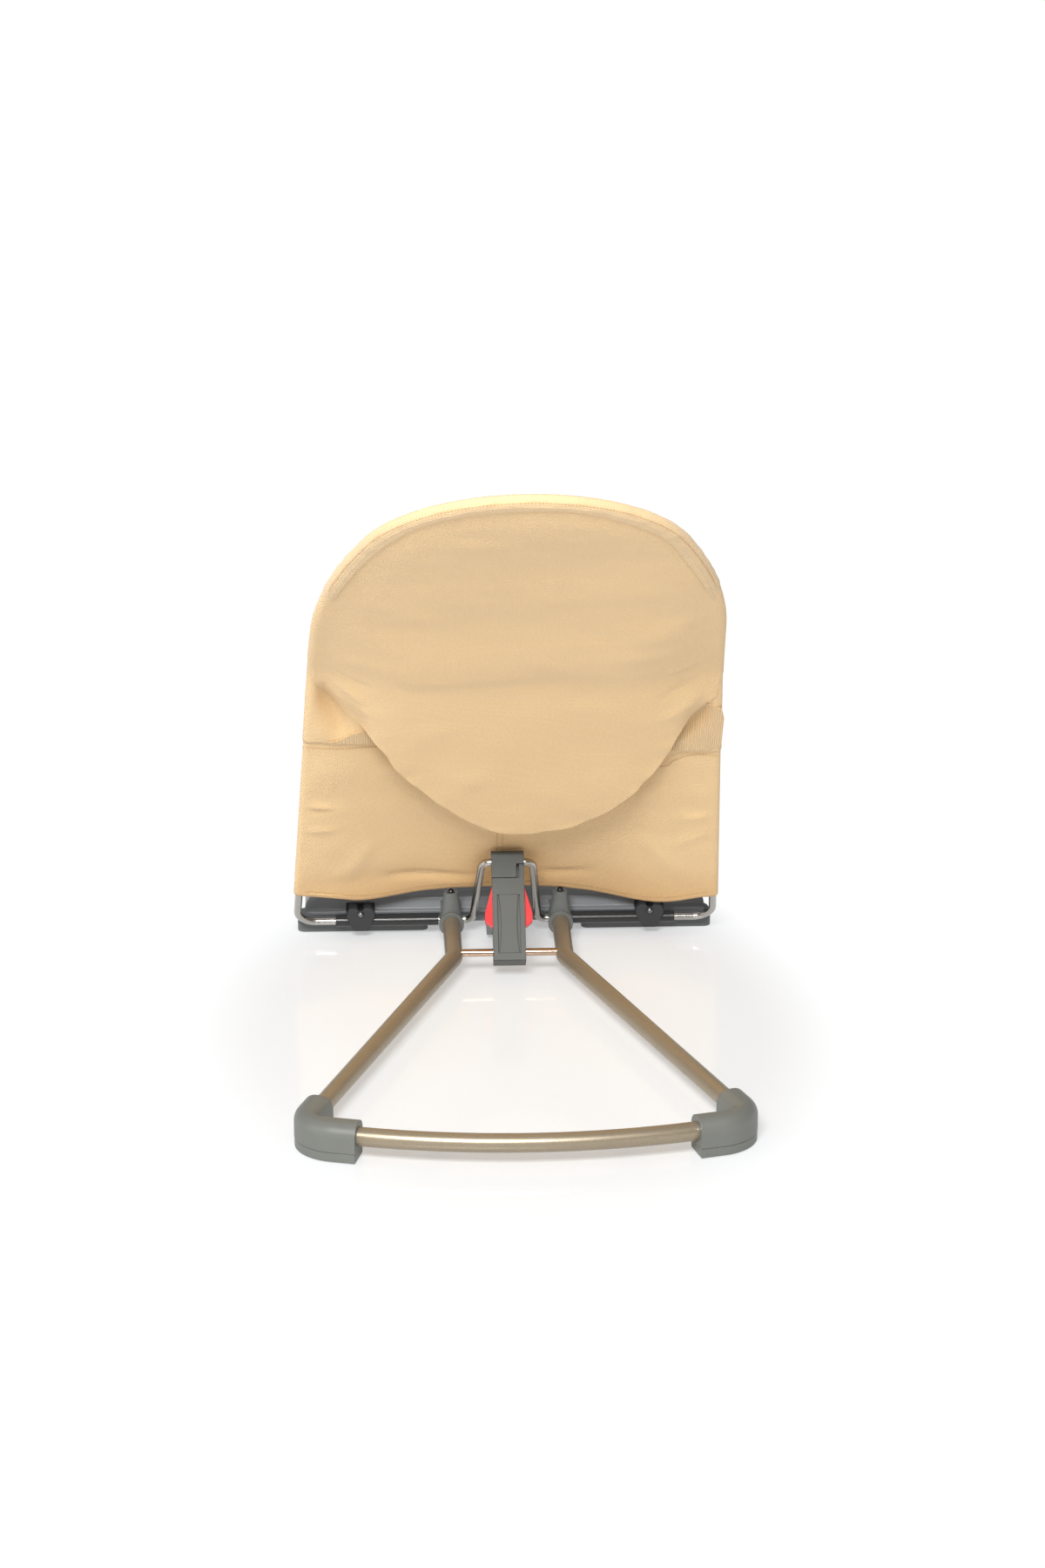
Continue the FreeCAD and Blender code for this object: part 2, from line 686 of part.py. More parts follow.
def make_seat_wire():
    """One bent steel wire: the seat's loop, and the upright bracket in the middle of its front run."""
    bracket = [
        (0, size("bracket_height"), 0), (size("bracket_top_half"), size("bracket_height"), 7.5),
        (size("bracket_foot_half"), 0, 8), (size("front_half_width"), 0, size("front_corner_radius")),
    ]
    front = [(seat_point(x, along), radius) for x, along, radius in bracket]
    centreline = path_wire(rounded_path(front + loop_corners(1, 0)[1:], closed=False))
    half = swept_rod(centreline, size("wire_diameter") / 2)
    other = half.mirror(Vector(), X_AXIS)
    keep(feature_from("seat_wire", half.fuse(other).removeSplitter()))


def make_hinge_sleeve(name, side):
    """Smooth sleeve on the wire's front run, which turns in the hinge clamp."""
    start = at_hinge(side * size("sleeve_start"), 0, size("hinge_z"))
    direction = X_AXIS * side
    length = "Sizes.sleeve_length"
    outer = cylinder(f"SleeveOuter_{name}", "Sizes.sleeve_diameter / 2", length, start, direction)
    inner = cylinder(f"SleeveInner_{name}", "Sizes.wire_diameter / 2", length, start, direction)
    keep(boolean("Cut", f"hinge_sleeve_{name}", (outer, inner)))


# ---------------------------------------------------------------- fabric cover

def seat_volume(margin):
    """Everything over and under the bent seat inside the wire's outline, grown by a margin."""
    corners = [(side_x(0), 0, 0), (size("side_half_width"), size("side_length"), size("side_radius")),
               (size("head_half_width"), size("head_length"), size("head_radius"))]
    right_side = [(-x, along, radius) for x, along, radius in reversed(corners)]
    outline = path_wire(rounded_path(flat(corners + right_side), closed=True)).makeOffset2D(margin, 2)
    plan = Part.Face(outline)
    depth = 100
    prism = plan.extrude(Vector(0, 0, depth))
    prism.translate(Vector(0, 0, -depth / 2))
    parts = []
    for placement, keeps_lower in ((lower_placement(), True), (upper_placement(), False)):
        moved = prism.copy()
        moved.Placement = placement.multiply(moved.Placement)
        reach = 900
        nearest = -reach if keeps_lower else 0
        half_space = Part.makeBox(2 * reach, reach, 2 * reach, Vector(-reach, nearest, -reach))
        middle_angle = (size("lower_angle") + size("upper_angle")) / 2
        half_space.Placement = Placement(seat_point(0, size("bend_length")), Rotation(X_AXIS, middle_angle))
        parts.append(moved.common(half_space))
    return parts


def slab_between(back, front, half_width):
    """Block across the seat between two side lines, each a list of (along, out) points."""
    ring = [seat_point(-half_width, along, out) for along, out in back + front[::-1]]
    face = Part.Face(Part.makePolygon(ring + ring[:1]))
    return face.extrude(Vector(2 * half_width, 0, 0))


def side_line(points, lift):
    """A side line moved towards the sitter."""
    return [(along, out + lift) for along, out in points]


def cover_piece(name, back, front, margin, plan=None):
    """Fabric piece between two side lines, trimmed to the wire's outline and to a plan of its own."""
    slab = slab_between(back, front, 220)
    trimmed = [slab.common(volume) for volume in seat_volume(margin)]
    trimmed = [shape for shape in trimmed if shape.Volume > 1]
    shape = trimmed[0] if len(trimmed) == 1 else trimmed[0].fuse(trimmed[1]).removeSplitter()
    if plan is not None:
        shape = shape.common(plan)
    keep(feature_from(name, Part.Solid(shape.Solids[0])))


def plan_block(corners, placement, depth=120):
    """Tall block with a rounded outline in the seat's axes."""
    face = Part.Face(path_wire(rounded_path(flat(corners), closed=True)))
    block = face.extrude(Vector(0, 0, depth))
    block.translate(Vector(0, 0, -depth / 2))
    block.Placement = placement.multiply(block.Placement)
    return block


def make_cover():
    """The cover's back panels, head pocket, front pad, restraint bib and buttons."""
    bend = size("bend_length")
    head = size("head_length")
    hem = size("hem_length")
    seam = 283.0
    inside = -size("casing_diameter") / 2 - 0.3
    thickness = size("panel_thickness")

    lower_back = [(hem + 6, 11.5), (130, 11.5), (seam - 0.2, -3.8)]
    cover_piece("lower_back_panel", lower_back, side_line(lower_back, thickness), inside)
    upper_back = [(seam + 0.2, -3.8), (bend, -3.8), (head, -3.8)]
    cover_piece("upper_back_panel", upper_back, side_line(upper_back, thickness), inside)

    pad_lower = [(hem + 6, 14.2), (130, 14.2), (300, 5.8), (bend, 5.8), (700, 5.8)]
    pad_back = pad_lower + [(head - 15, 5.0)]
    pad_front = side_line(pad_lower, size("pad_thickness")) + [(735, 10.8), (head - 15, 8.0)]
    cover_piece("seat_pad", pad_back, pad_front, -7)

    pocket_top = [(150, -6.2), (bend - 20, -6.2), (bend + 20, -6.2), (head + 10, -6.2)]
    flap_corners = [
        (-220, 470), (-171, 388, 20), (-52, 152, 70), (52, 152, 70), (171, 388, 20), (220, 470),
    ]
    flap = plan_block(flap_corners, lower_placement(), 60)
    above = Part.makeBox(500, 500, 300, Vector(-250, 460, -150))
    above.Placement = lower_placement()
    pocket_back = side_line(pocket_top, -size("pocket_thickness"))
    cover_piece("head_pocket", pocket_back, pocket_top, 3.5, flap.fuse(above))

    bib_back = [(70, 22.4), (130, 22.4), (300, 14.0), (bend - 30, 14.0)]
    bib_corners = [
        (-38, 60), (38, 60), (46, 210, 60), (150, 255, 25), (150, 330, 22), (-150, 330, 22),
        (-150, 255, 25), (-46, 210, 60),
    ]
    bib_plan = plan_block(bib_corners, lower_placement())
    cover_piece("restraint_bib", bib_back, side_line(bib_back, size("bib_thickness")), 0, bib_plan)

    buttons = []
    for name, side in SIDES.items():
        place = seat_point(side * 132, 300, 19.6)
        button = cylinder(f"Button_{name}", "Sizes.button_diameter / 2", "Sizes.button_thickness", place)
        button.Placement.Rotation = Rotation(X_AXIS, size("lower_angle"))
        buttons.append(button)
        corner = seat_point(side * 128 - size("gusset_width") / 2, 268, -5.6)
        keep(box(f"pocket_gusset_{name}", "Sizes.gusset_width", "Sizes.gusset_length",
                 "Sizes.gusset_thickness", corner, Rotation(X_AXIS, size("lower_angle"))))
    keep(boolean("Compound", "bib_buttons", buttons))


def make_edge_casing():
    """Fabric sleeve round the wire, from the hem up one side, over the head and down the other."""
    left = loop_corners(1, size("hem_length"))
    right = loop_corners(-1, size("hem_length"))
    wire = path_wire(rounded_path(left[:-1] + right[-2::-1], closed=False))
    sleeve = swept_rod(wire, size("casing_diameter") / 2).cut(swept_rod(wire, size("wire_diameter") / 2))
    keep(feature_from("edge_casing", sleeve))


# ---------------------------------------------------------------- prop strut

def strut_placement():
    """Strut axes: X across, Y down the strut from its pivot, Z out of its outer face."""
    return Placement(seat_point(0, size("bracket_height")), Rotation(X_AXIS, size("strut_angle")))


def rod_in_strut():
    """The cross rod's centre in the strut's axes, as (along, height)."""
    rod = strut_placement().inverse().multVec(at_hinge(0, size("rod_reach"), size("rod_z")))
    return rod.y, rod.z


def notch_outline(along, height):
    """Slot for the cross rod, from its seat towards its mouth in the strut's underside."""
    mouth = Vector(-0.72, -0.69, 0).normalize()
    across = Vector(-mouth.y, mouth.x, 0)
    radius = size("notch_radius")
    seat = Vector(along, height, 0)
    back = seat - mouth * radius
    front = seat + mouth * 20
    corners = [(back + across * radius, radius * 0.999), (back - across * radius, radius * 0.999),
               (front - across * radius, 0), (front + across * radius, 0)]
    return rounded_path(corners, closed=True)


def make_strut_body():
    """Channel-shaped strut: an eye round the bracket's bar, a top plate and two notched side walls."""
    body = new_body("strut_body", strut_placement())
    half = size("strut_width") / 2
    inner = half - size("strut_wall")
    top = size("strut_top")
    end = size("strut_end")
    depth = size("strut_depth")
    eye = size("eye_radius")
    cap_edge = 17.2
    profile = new_sketch(body, "YZ_Plane", "StrutSide")
    draw(profile, rounded_path(flat([
        (-eye, -0.1), (-eye, -eye, eye - 0.2), (eye, -eye, eye - 0.2), (eye, -2), (19.5, -2, 1),
        (19.5, -depth, 3), (end - 2, -depth, 2), (end, -depth + 6, 3), (end, top, 1), (cap_edge, top),
        (cap_edge, 3.9), (9.5, 3.9), (9.5, -0.1),
    ]), closed=True))
    document.recompute()
    extrude(body, "Pad", profile, "StrutBlock", "Sizes.strut_width", "Symmetric")

    body_box(body, "Subtractive", "Channel", Vector(-inner, 19.5, -depth - 1), Vector(inner, end - 2.5, 3))
    for name, side in SIDES.items():
        low_x, high_x = sorted((side * 12.5, side * (half + 1)))
        body_box(body, "Subtractive", f"EyeRelief_{name}",
                 Vector(low_x, -eye - 1, -eye - 1), Vector(high_x, 8, 8))
    body_box(body, "Additive", "CapStop", Vector(-half, 4.3, -0.1), Vector(-10, cap_edge + 1, top))
    body_cylinder(body, "Subtractive", "Eye", "Sizes.wire_diameter / 2 + Sizes.running_clearance",
                  Vector(-20, 0, 0), X_AXIS, 40)

    rod_along, rod_height = rod_in_strut()
    notches = new_sketch(body, "YZ_Plane", "Notches")
    draw(notches, notch_outline(rod_along, rod_height))
    for distance in (size("middle_notch"), size("near_notch")):
        draw(notches, notch_outline(math.sqrt(distance ** 2 - rod_height ** 2), rod_height))
    document.recompute()
    before = body.Tip.Shape.Volume
    cut = extrude(body, "Pocket", notches, "RodNotches", "2 * Sizes.strut_width", "Symmetric")
    assert cut.Shape.Volume < before, "the notches cut nothing"

    window_low, window_high = 19.0, 63.0
    body_box(body, "Subtractive", "WingWindows",
             Vector(-half - 1, window_low, -3.2), Vector(half + 1, window_high, 3))

    panel_low, panel_high = 33.0, 88.0
    panel_middle = (panel_low + panel_high) / 2
    body_box(body, "Subtractive", "PanelRecess",
             Vector(-10, panel_low, top - 0.5), Vector(10, panel_high, top + 1))
    for name, side in SIDES.items():
        waist = Part.Arc(Vector(side * 9, panel_low, 0), Vector(side * 7.1, panel_middle, 0),
                         Vector(side * 9, panel_high, 0))
        groove = new_sketch(body, "XY_Plane", f"PanelGroove_{name}", Vector(0, 0, top))
        rim = [Vector(side * 9, panel_high, 0), Vector(side * 10, panel_high, 0),
               Vector(side * 10, panel_low, 0), Vector(side * 9, panel_low, 0)]
        draw(groove, [waist] + [Part.LineSegment(rim[index], rim[index + 1]) for index in range(3)])
        document.recompute()
        before = body.Tip.Shape.Volume
        cut = extrude(body, "Pocket", groove, f"PanelSide_{name}", "2.4")
        assert cut.Shape.Volume < before, "the panel groove cuts nothing"

    for name, side in SIDES.items():
        pivot = Vector(side * size("wing_pivot_offset"), size("wing_pivot_reach"), 2.5)
        body_cylinder(body, "Subtractive", f"PinHole_{name}", "Sizes.wing_pin_diameter / 2", pivot, Z_AXIS, 3)
        screw = Vector(side * 5, 13.3, -3)
        body_cylinder(body, "Subtractive", f"ScrewHole_{name}", "Sizes.cap_screw_diameter / 2",
                      screw, Z_AXIS, 8)
        body_cylinder(body, "Subtractive", f"HeadHole_{name}", "Sizes.cap_screw_head / 2 + 0.1",
                      screw, Z_AXIS, 2.8)
    keep(body)


def make_strut_cap():
    """Cap that closes the strut's eye over the bracket's bar, notched at one lower corner."""
    body = new_body("strut_cap", strut_placement())
    top = size("cap_top")
    profile = new_sketch(body, "YZ_Plane", "CapSide")
    draw(profile, rounded_path(flat([
        (-9.6, 0), (-9.6, top, 5), (17, top, 0.6), (17, 4.1), (9.3, 4.1), (9.3, 0),
    ]), closed=True))
    document.recompute()
    extrude(body, "Pad", profile, "CapBlock", "Sizes.cap_width", "Symmetric")
    body_cylinder(body, "Subtractive", "CapEye", "Sizes.wire_diameter / 2 + Sizes.running_clearance",
                  Vector(-20, 0, 0), X_AXIS, 40)
    edge = size("cap_width") / 2 + 1
    body_box(body, "Subtractive", "CapNotch", Vector(-edge, 4, -1), Vector(-7.7, 18, top + 1))
    for name, side in SIDES.items():
        body_cylinder(body, "Subtractive", f"CapScrewHole_{name}", "Sizes.cap_screw_diameter / 2",
                      Vector(side * 5, 13.3, 0), Z_AXIS, 6.6)
    keep(body)


def make_cap_screws():
    """Two screws from the strut's underside into its cap."""
    screws = []
    for name, side in SIDES.items():
        foot = Vector(side * 5, 13.3, -2)
        shank = cylinder(f"CapScrewShank_{name}", "Sizes.cap_screw_diameter / 2", "8.4", foot)
        head = cylinder(f"CapScrewHead_{name}", "Sizes.cap_screw_head / 2", "1.7", foot)
        screws.append(boolean("MultiFuse", f"CapScrew_{name}", [shank, head]))
    group = boolean("Compound", "cap_screws", screws)
    group.Placement = strut_placement()
    keep(group)


def make_wings():
    """Two sprung release wings, each a lever on a pin inside a side wall, and the spring between them."""
    pins = []
    thickness = size("wing_height")
    for name, side in SIDES.items():
        pivot = Vector(side * size("wing_pivot_offset"), size("wing_pivot_reach"), 0)
        foot = pivot + Vector(0, 0, -2.9)
        pins.append(cylinder(f"WingPin_{name}", "Sizes.wing_pin_diameter / 2", "8", foot))
        body = new_body(f"lock_wing_{name}", strut_placement())
        outline = [
            (7.4, 19.7, 1.5), (13.4, 19.7, 1), (21.4, 49, 14), (21.4, 57.5, 5), (15, 62.3, 1),
            (8.8, 62.3, 1), (7.4, 28, 3),
        ]
        sided = [(side * x, along, radius) for x, along, radius in outline]
        plan = new_sketch(body, "XY_Plane", "WingPlan", Vector(0, 0, -2.85))
        draw(plan, rounded_path(flat(sided), closed=True))
        document.recompute()
        extrude(body, "Pad", plan, "Wing", "Sizes.wing_height")
        low_x, high_x = sorted((side * 8.9, side * 11.7))
        body_box(body, "Additive", "StopFlange",
                 Vector(low_x, 34, -4.5), Vector(high_x, 60, thickness - 2.85))
        body_cylinder(body, "Subtractive", "PinBore",
                      "Sizes.wing_pin_diameter / 2 + Sizes.running_clearance",
                      pivot + Vector(0, 0, -10), Z_AXIS, 20)
        keep(body)
    group = boolean("Compound", "wing_pins", pins)
    group.Placement = strut_placement()
    keep(group)

    start = Vector(-8.2, 52, 0)
    outer = cylinder("SpringOuter", "Sizes.spring_diameter / 2", "Sizes.spring_length", start, X_AXIS)
    inner = cylinder("SpringInner", "Sizes.spring_bore / 2", "Sizes.spring_length", start, X_AXIS)
    spring = boolean("Cut", "lock_spring", (outer, inner))
    spring.Placement = strut_placement()
    keep(spring)


# ---------------------------------------------------------------- build and write

make_base_tube()
make_cross_rod()
make_front_crossmember()
for side_name, side_sign in SIDES.items():
    make_socket(side_name, side_sign)
    make_hinge_clamp(side_name, side_sign)
    make_front_foot(side_name, side_sign)
    make_hinge_sleeve(side_name, side_sign)
make_socket_screws()
make_clamp_screws()
make_rear_feet()
make_seat_wire()
make_edge_casing()
make_cover()
make_strut_body()
make_strut_cap()
make_cap_screws()
make_wings()
document.recompute()

for item in document.Objects:
    failed = [state for state in item.State if state in ("Invalid", "Error")]
    if failed:
        raise RuntimeError(f"{item.Label} is {failed}")
for sub_part in sub_parts:
    if sub_part.Shape.isNull() or not sub_part.Shape.isValid():
        raise RuntimeError(f"{sub_part.Label} has no valid shape")

os.makedirs("parts", exist_ok=True)
for sub_part in sub_parts:
    sub_part.Shape.exportStep(f"parts/{sub_part.Label}.step")
print(f"{len(sub_parts)} sub-parts written")
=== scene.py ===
import math

import bpy
import numpy as np
from mathutils import Matrix, Vector


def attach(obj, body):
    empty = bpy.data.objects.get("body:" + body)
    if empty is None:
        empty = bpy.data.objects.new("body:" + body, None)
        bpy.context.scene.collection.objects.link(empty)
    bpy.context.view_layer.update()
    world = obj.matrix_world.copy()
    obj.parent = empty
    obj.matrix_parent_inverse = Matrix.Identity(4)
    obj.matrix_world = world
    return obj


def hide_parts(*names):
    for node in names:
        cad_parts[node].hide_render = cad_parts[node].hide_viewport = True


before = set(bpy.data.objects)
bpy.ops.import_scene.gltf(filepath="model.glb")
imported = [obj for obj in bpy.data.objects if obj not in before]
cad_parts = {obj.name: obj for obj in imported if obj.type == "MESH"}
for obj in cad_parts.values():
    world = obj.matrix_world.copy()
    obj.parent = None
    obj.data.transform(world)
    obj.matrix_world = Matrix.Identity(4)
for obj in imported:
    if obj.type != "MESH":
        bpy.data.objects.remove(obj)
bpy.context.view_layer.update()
scene = bpy.context.scene
MM = 0.001


# ---------------------------------------------------------------- camera, light and floor

def make_camera():
    """The camera stands behind the seat, a little to its left, and looks down on it."""
    sink, level, swing = 0.33, 0.944, math.radians(2.33)
    right = Vector((-math.cos(swing), math.sin(swing), 0))
    forward = Vector((-math.sin(swing) * level, -math.cos(swing) * level, -sink)).normalized()
    up = right.cross(forward)
    data = bpy.data.cameras.new("camera")
    data.lens = 101.82
    data.sensor_width = 36
    camera = bpy.data.objects.new("camera", data)
    scene.collection.objects.link(camera)
    placement = Matrix((right, up, -forward)).transposed().to_4x4()
    placement.translation = Vector((0, -0.257, 0)) - 4.102 * forward + 0.0165 * right + 0.1346 * up
    camera.matrix_world = placement
    scene.camera = camera


def add_area(name, place, target, width, height, power):
    data = bpy.data.lights.new(name, "AREA")
    data.shape = "RECTANGLE"
    data.size = width
    data.size_y = height
    data.energy = power
    light = bpy.data.objects.new(name, data)
    scene.collection.objects.link(light)
    light.location = place
    light.rotation_mode = "QUATERNION"
    light.rotation_quaternion = (Vector(target) - Vector(place)).to_track_quat("-Z", "Y")


def add_node(tree, kind, inputs=None, **settings):
    """A shader node; inputs maps a socket's name or number to a value or to another node's output."""
    node = tree.nodes.new("ShaderNode" + kind)
    for key, value in settings.items():
        setattr(node, key, value)
    for key, value in (inputs or {}).items():
        if isinstance(value, bpy.types.NodeSocket):
            tree.links.new(value, node.inputs[key])
        else:
            node.inputs[key].default_value = value
    return node


def add_math(tree, operation, first, second=0.0, third=0.0):
    inputs = {0: first, 1: second, 2: third}
    return add_node(tree, "Math", inputs, operation=operation).outputs[0]


def make_world():
    world = bpy.data.worlds.new("studio")
    scene.world = world
    world.use_nodes = True
    tree = world.node_tree
    direction = add_node(tree, "TexCoord").outputs["Generated"]
    height = add_node(tree, "SeparateXYZ", {0: direction}).outputs["Z"]
    ramp = add_node(tree, "ValToRGB", {0: height})
    stops = ramp.color_ramp.elements
    stops[0].position, stops[0].color = 0.10, (1.0, 1.0, 1.0, 1)
    stops[1].position, stops[1].color = 0.60, (0.27, 0.27, 0.27, 1)
    for place, grey in ((0.18, 0.13), (0.30, 0.20)):
        stops.new(place).color = (grey, grey, grey, 1)
    tree.links.new(ramp.outputs[0], tree.nodes["Background"].inputs["Color"])


def make_floor():
    mesh = bpy.data.meshes.new("floor")
    reach = 40
    corners = [(-reach, -reach, 0), (reach, -reach, 0), (reach, reach, 0), (-reach, reach, 0)]
    mesh.from_pydata(corners, [], [(0, 1, 2, 3)])
    floor = bpy.data.objects.new("floor", mesh)
    scene.collection.objects.link(floor)
    material = bpy.data.materials.new("floor")
    material.use_nodes = True
    tree = material.node_tree
    gloss = tree.nodes["Principled BSDF"]
    gloss.inputs["Base Color"].default_value = (0.715, 0.73, 0.745, 1)
    gloss.inputs["Roughness"].default_value = 0.09
    place = add_node(tree, "TexCoord").outputs["Object"]
    # The floor glows evenly white away from the object. In an oval round it, narrower across than along, it turns
    # to a grey glossy floor: a painted shade patch that also takes the real shadows.
    widened = add_node(tree, "VectorMath", {0: place, 1: (1.5, 1.0, 1.0)}, operation="MULTIPLY").outputs[0]
    distance = add_node(tree, "VectorMath", {0: widened}, operation="LENGTH").outputs["Value"]
    share = add_node(tree, "MapRange", {"Value": distance, "From Min": 0.30, "From Max": 0.48, "To Min": 0.36},
                     interpolation_type="SMOOTHSTEP").outputs["Result"]
    bright = add_node(tree, "Emission", {"Color": (1, 1, 1, 1), "Strength": 1.06})
    mix = add_node(tree, "MixShader", {0: share, 1: gloss.outputs[0], 2: bright.outputs[0]})
    tree.links.new(mix.outputs[0], tree.nodes["Material Output"].inputs["Surface"])
    mesh.materials.append(material)


make_camera()
make_world()
make_floor()
scene.view_settings.view_transform = "Standard"
add_area("top_light", (0.5, -1.2, 2.6), (0, 0.1, 0.2), 2.0, 1.4, 5)
add_area("side_light", (2.4, 0.8, 1.2), (0, 0.1, 0.25), 1.2, 1.6, 14)
add_area("key_light", (0.5, 2.7, 2.5), (0, 0.0, 0.3), 1.3, 1.0, 172)


# ---------------------------------------------------------------- materials

def new_material(name, colour, roughness, metallic=0.0):
    material = bpy.data.materials.new(name)
    material.use_nodes = True
    shader = material.node_tree.nodes["Principled BSDF"]
    shader.inputs["Base Color"].default_value = (*colour, 1)
    shader.inputs["Roughness"].default_value = roughness
    shader.inputs["Metallic"].default_value = metallic
    return material, material.node_tree, shader


def shaded(tree, colour, factor, dark, light):
    """A colour that runs from dark to light times itself, with a factor from 0 to 1."""
    low = tuple(min(1.0, part * dark) for part in colour)
    high = tuple(min(1.0, part * light) for part in colour)
    mix = add_node(tree, "Mix", {0: factor, 6: (*low, 1), 7: (*high, 1)}, data_type="RGBA")
    return mix.outputs[2]


def noise_at(tree, place, scale, detail=2.0):
    return add_node(tree, "TexNoise", {"Vector": place, "Scale": scale, "Detail": detail}).outputs["Fac"]


def plastic(name, colour, roughness, grain=0.25, edge=0.0007):
    """Moulded plastic: fine spark-eroded grain, uneven gloss, and edges rubbed lighter."""
    material, tree, shader = new_material(name, colour, roughness)
    place = add_node(tree, "TexCoord").outputs["Object"]
    soft = add_node(tree, "Bevel", {"Radius": edge}, samples=4).outputs["Normal"]
    true = add_node(tree, "NewGeometry").outputs["Normal"]
    facing = add_node(tree, "VectorMath", {0: soft, 1: true}, operation="DOT_PRODUCT").outputs["Value"]
    rubbed = add_node(tree, "MapRange", {"Value": facing, "From Min": 0.995, "From Max": 0.8}).outputs["Result"]
    cloudy = noise_at(tree, place, 28.0, 4.0)
    worn = add_math(tree, "MULTIPLY", rubbed, cloudy)
    tone = add_math(tree, "MULTIPLY_ADD", worn, 0.9, add_math(tree, "MULTIPLY", cloudy, 0.35))
    tree.links.new(shaded(tree, colour, tone, 0.88, 1.45), shader.inputs["Base Color"])
    rough = add_math(tree, "MULTIPLY_ADD", cloudy, 0.16, roughness - 0.08)
    tree.links.new(rough, shader.inputs["Roughness"])
    fine = noise_at(tree, place, 2600.0, 1.0)
    bump = add_node(tree, "Bump", {"Strength": grain, "Distance": 0.00012, "Height": fine, "Normal": soft})
    tree.links.new(bump.outputs["Normal"], shader.inputs["Normal"])
    return material


def metal(name, colour, roughness, metallic=1.0, flake=0.0, streak=0.0):
    """Bright or painted metal, with flake or drawing lines, and faint scuffs in its gloss."""
    material, tree, shader = new_material(name, colour, roughness, metallic)
    place = add_node(tree, "TexCoord").outputs["Object"]
    speck = noise_at(tree, place, 1900.0, 0.0)
    sharp = add_node(tree, "MapRange", {"Value": speck, "From Min": 0.35, "From Max": 0.65}).outputs["Result"]
    cloudy = noise_at(tree, place, 35.0, 5.0)
    tone = add_math(tree, "MULTIPLY_ADD", sharp, flake, add_math(tree, "MULTIPLY", cloudy, 1 - flake))
    tree.links.new(shaded(tree, colour, tone, 0.82, 1.14), shader.inputs["Base Color"])
    scuffs = noise_at(tree, place, 240.0, 6.0)
    rough = add_math(tree, "MULTIPLY_ADD", scuffs, 0.14, roughness - 0.07)
    tree.links.new(rough, shader.inputs["Roughness"])
    height = add_math(tree, "MULTIPLY_ADD", sharp, flake, add_math(tree, "MULTIPLY", scuffs, streak))
    bump = add_node(tree, "Bump", {"Strength": 0.2, "Distance": 0.00006, "Height": height})
    tree.links.new(bump.outputs["Normal"], shader.inputs["Normal"])
    return material


def cloth(name, colour, across, up, slant, depth, sheen=0.25, roughness=0.9):
    """Woven cloth. across and up are the thread pitches in metres, slant the twill's shift from row to row."""
    material, tree, shader = new_material(name, colour, roughness)
    flat = add_node(tree, "Attribute", attribute_name="cloth").outputs["Vector"]
    place = add_node(tree, "TexCoord").outputs["Object"]
    parts = add_node(tree, "SeparateXYZ", {0: flat})
    wobble = add_math(tree, "MULTIPLY", noise_at(tree, flat, 160.0), 0.9)
    x_turns = add_math(tree, "DIVIDE", parts.outputs["X"], across)
    y_turns = add_math(tree, "DIVIDE", parts.outputs["Y"], up)
    rows = add_math(tree, "SINE", add_math(tree, "MULTIPLY", y_turns, 2 * math.pi))
    shifted = add_math(tree, "MULTIPLY_ADD", y_turns, slant, add_math(tree, "ADD", x_turns, wobble))
    ribs = add_math(tree, "SINE", add_math(tree, "MULTIPLY", shifted, 2 * math.pi))
    weave = add_math(tree, "MULTIPLY_ADD", rows, 0.22, add_math(tree, "MULTIPLY", ribs, 0.3))
    weave = add_math(tree, "ADD", weave, 0.5)
    slub = noise_at(tree, flat, 420.0, 3.0)
    broad = noise_at(tree, place, 9.0, 3.0)
    tone = add_math(tree, "MULTIPLY_ADD", weave, 0.5, add_math(tree, "MULTIPLY", slub, 0.32))
    tone = add_math(tree, "MULTIPLY_ADD", broad, 0.18, tone)
    # Painted shade: where ambient occlusion finds the cloth hemmed in, under the pocket's edge and in folds, its
    # colour turns darker and more orange; lit is the same weave without it.
    open_sky = add_node(tree, "AmbientOcclusion", {"Distance": 0.09}, samples=8).outputs["AO"]
    clear = add_node(tree, "MapRange", {"Value": open_sky, "From Min": 0.25, "From Max": 0.95}).outputs["Result"]
    painted_shade_colour = shaded(tree, (colour[0] * 0.86, colour[1] * 0.72, colour[2] * 0.52), tone, 0.68, 1.32)
    lit = shaded(tree, colour, tone, 0.68, 1.32)
    final = add_node(tree, "Mix", {0: clear, 6: painted_shade_colour, 7: lit}, data_type="RGBA").outputs[2]
    tree.links.new(final, shader.inputs["Base Color"])
    fuzz = noise_at(tree, flat, 3200.0, 1.0)
    height = add_math(tree, "MULTIPLY_ADD", fuzz, 0.25, weave)
    grain = add_node(tree, "Bump", {"Strength": depth, "Distance": 0.0007, "Height": height}).outputs["Normal"]
    puckers = noise_at(tree, place, 55.0, 3.0)
    bump = add_node(tree, "Bump", {"Strength": 0.22, "Distance": 0.0022, "Height": puckers, "Normal": grain})
    tree.links.new(bump.outputs["Normal"], shader.inputs["Normal"])
    shader.inputs["Sheen Weight"].default_value = sheen
    shader.inputs["Sheen Roughness"].default_value = 0.5
    shader.inputs["Specular IOR Level"].default_value = 0.2
    return material


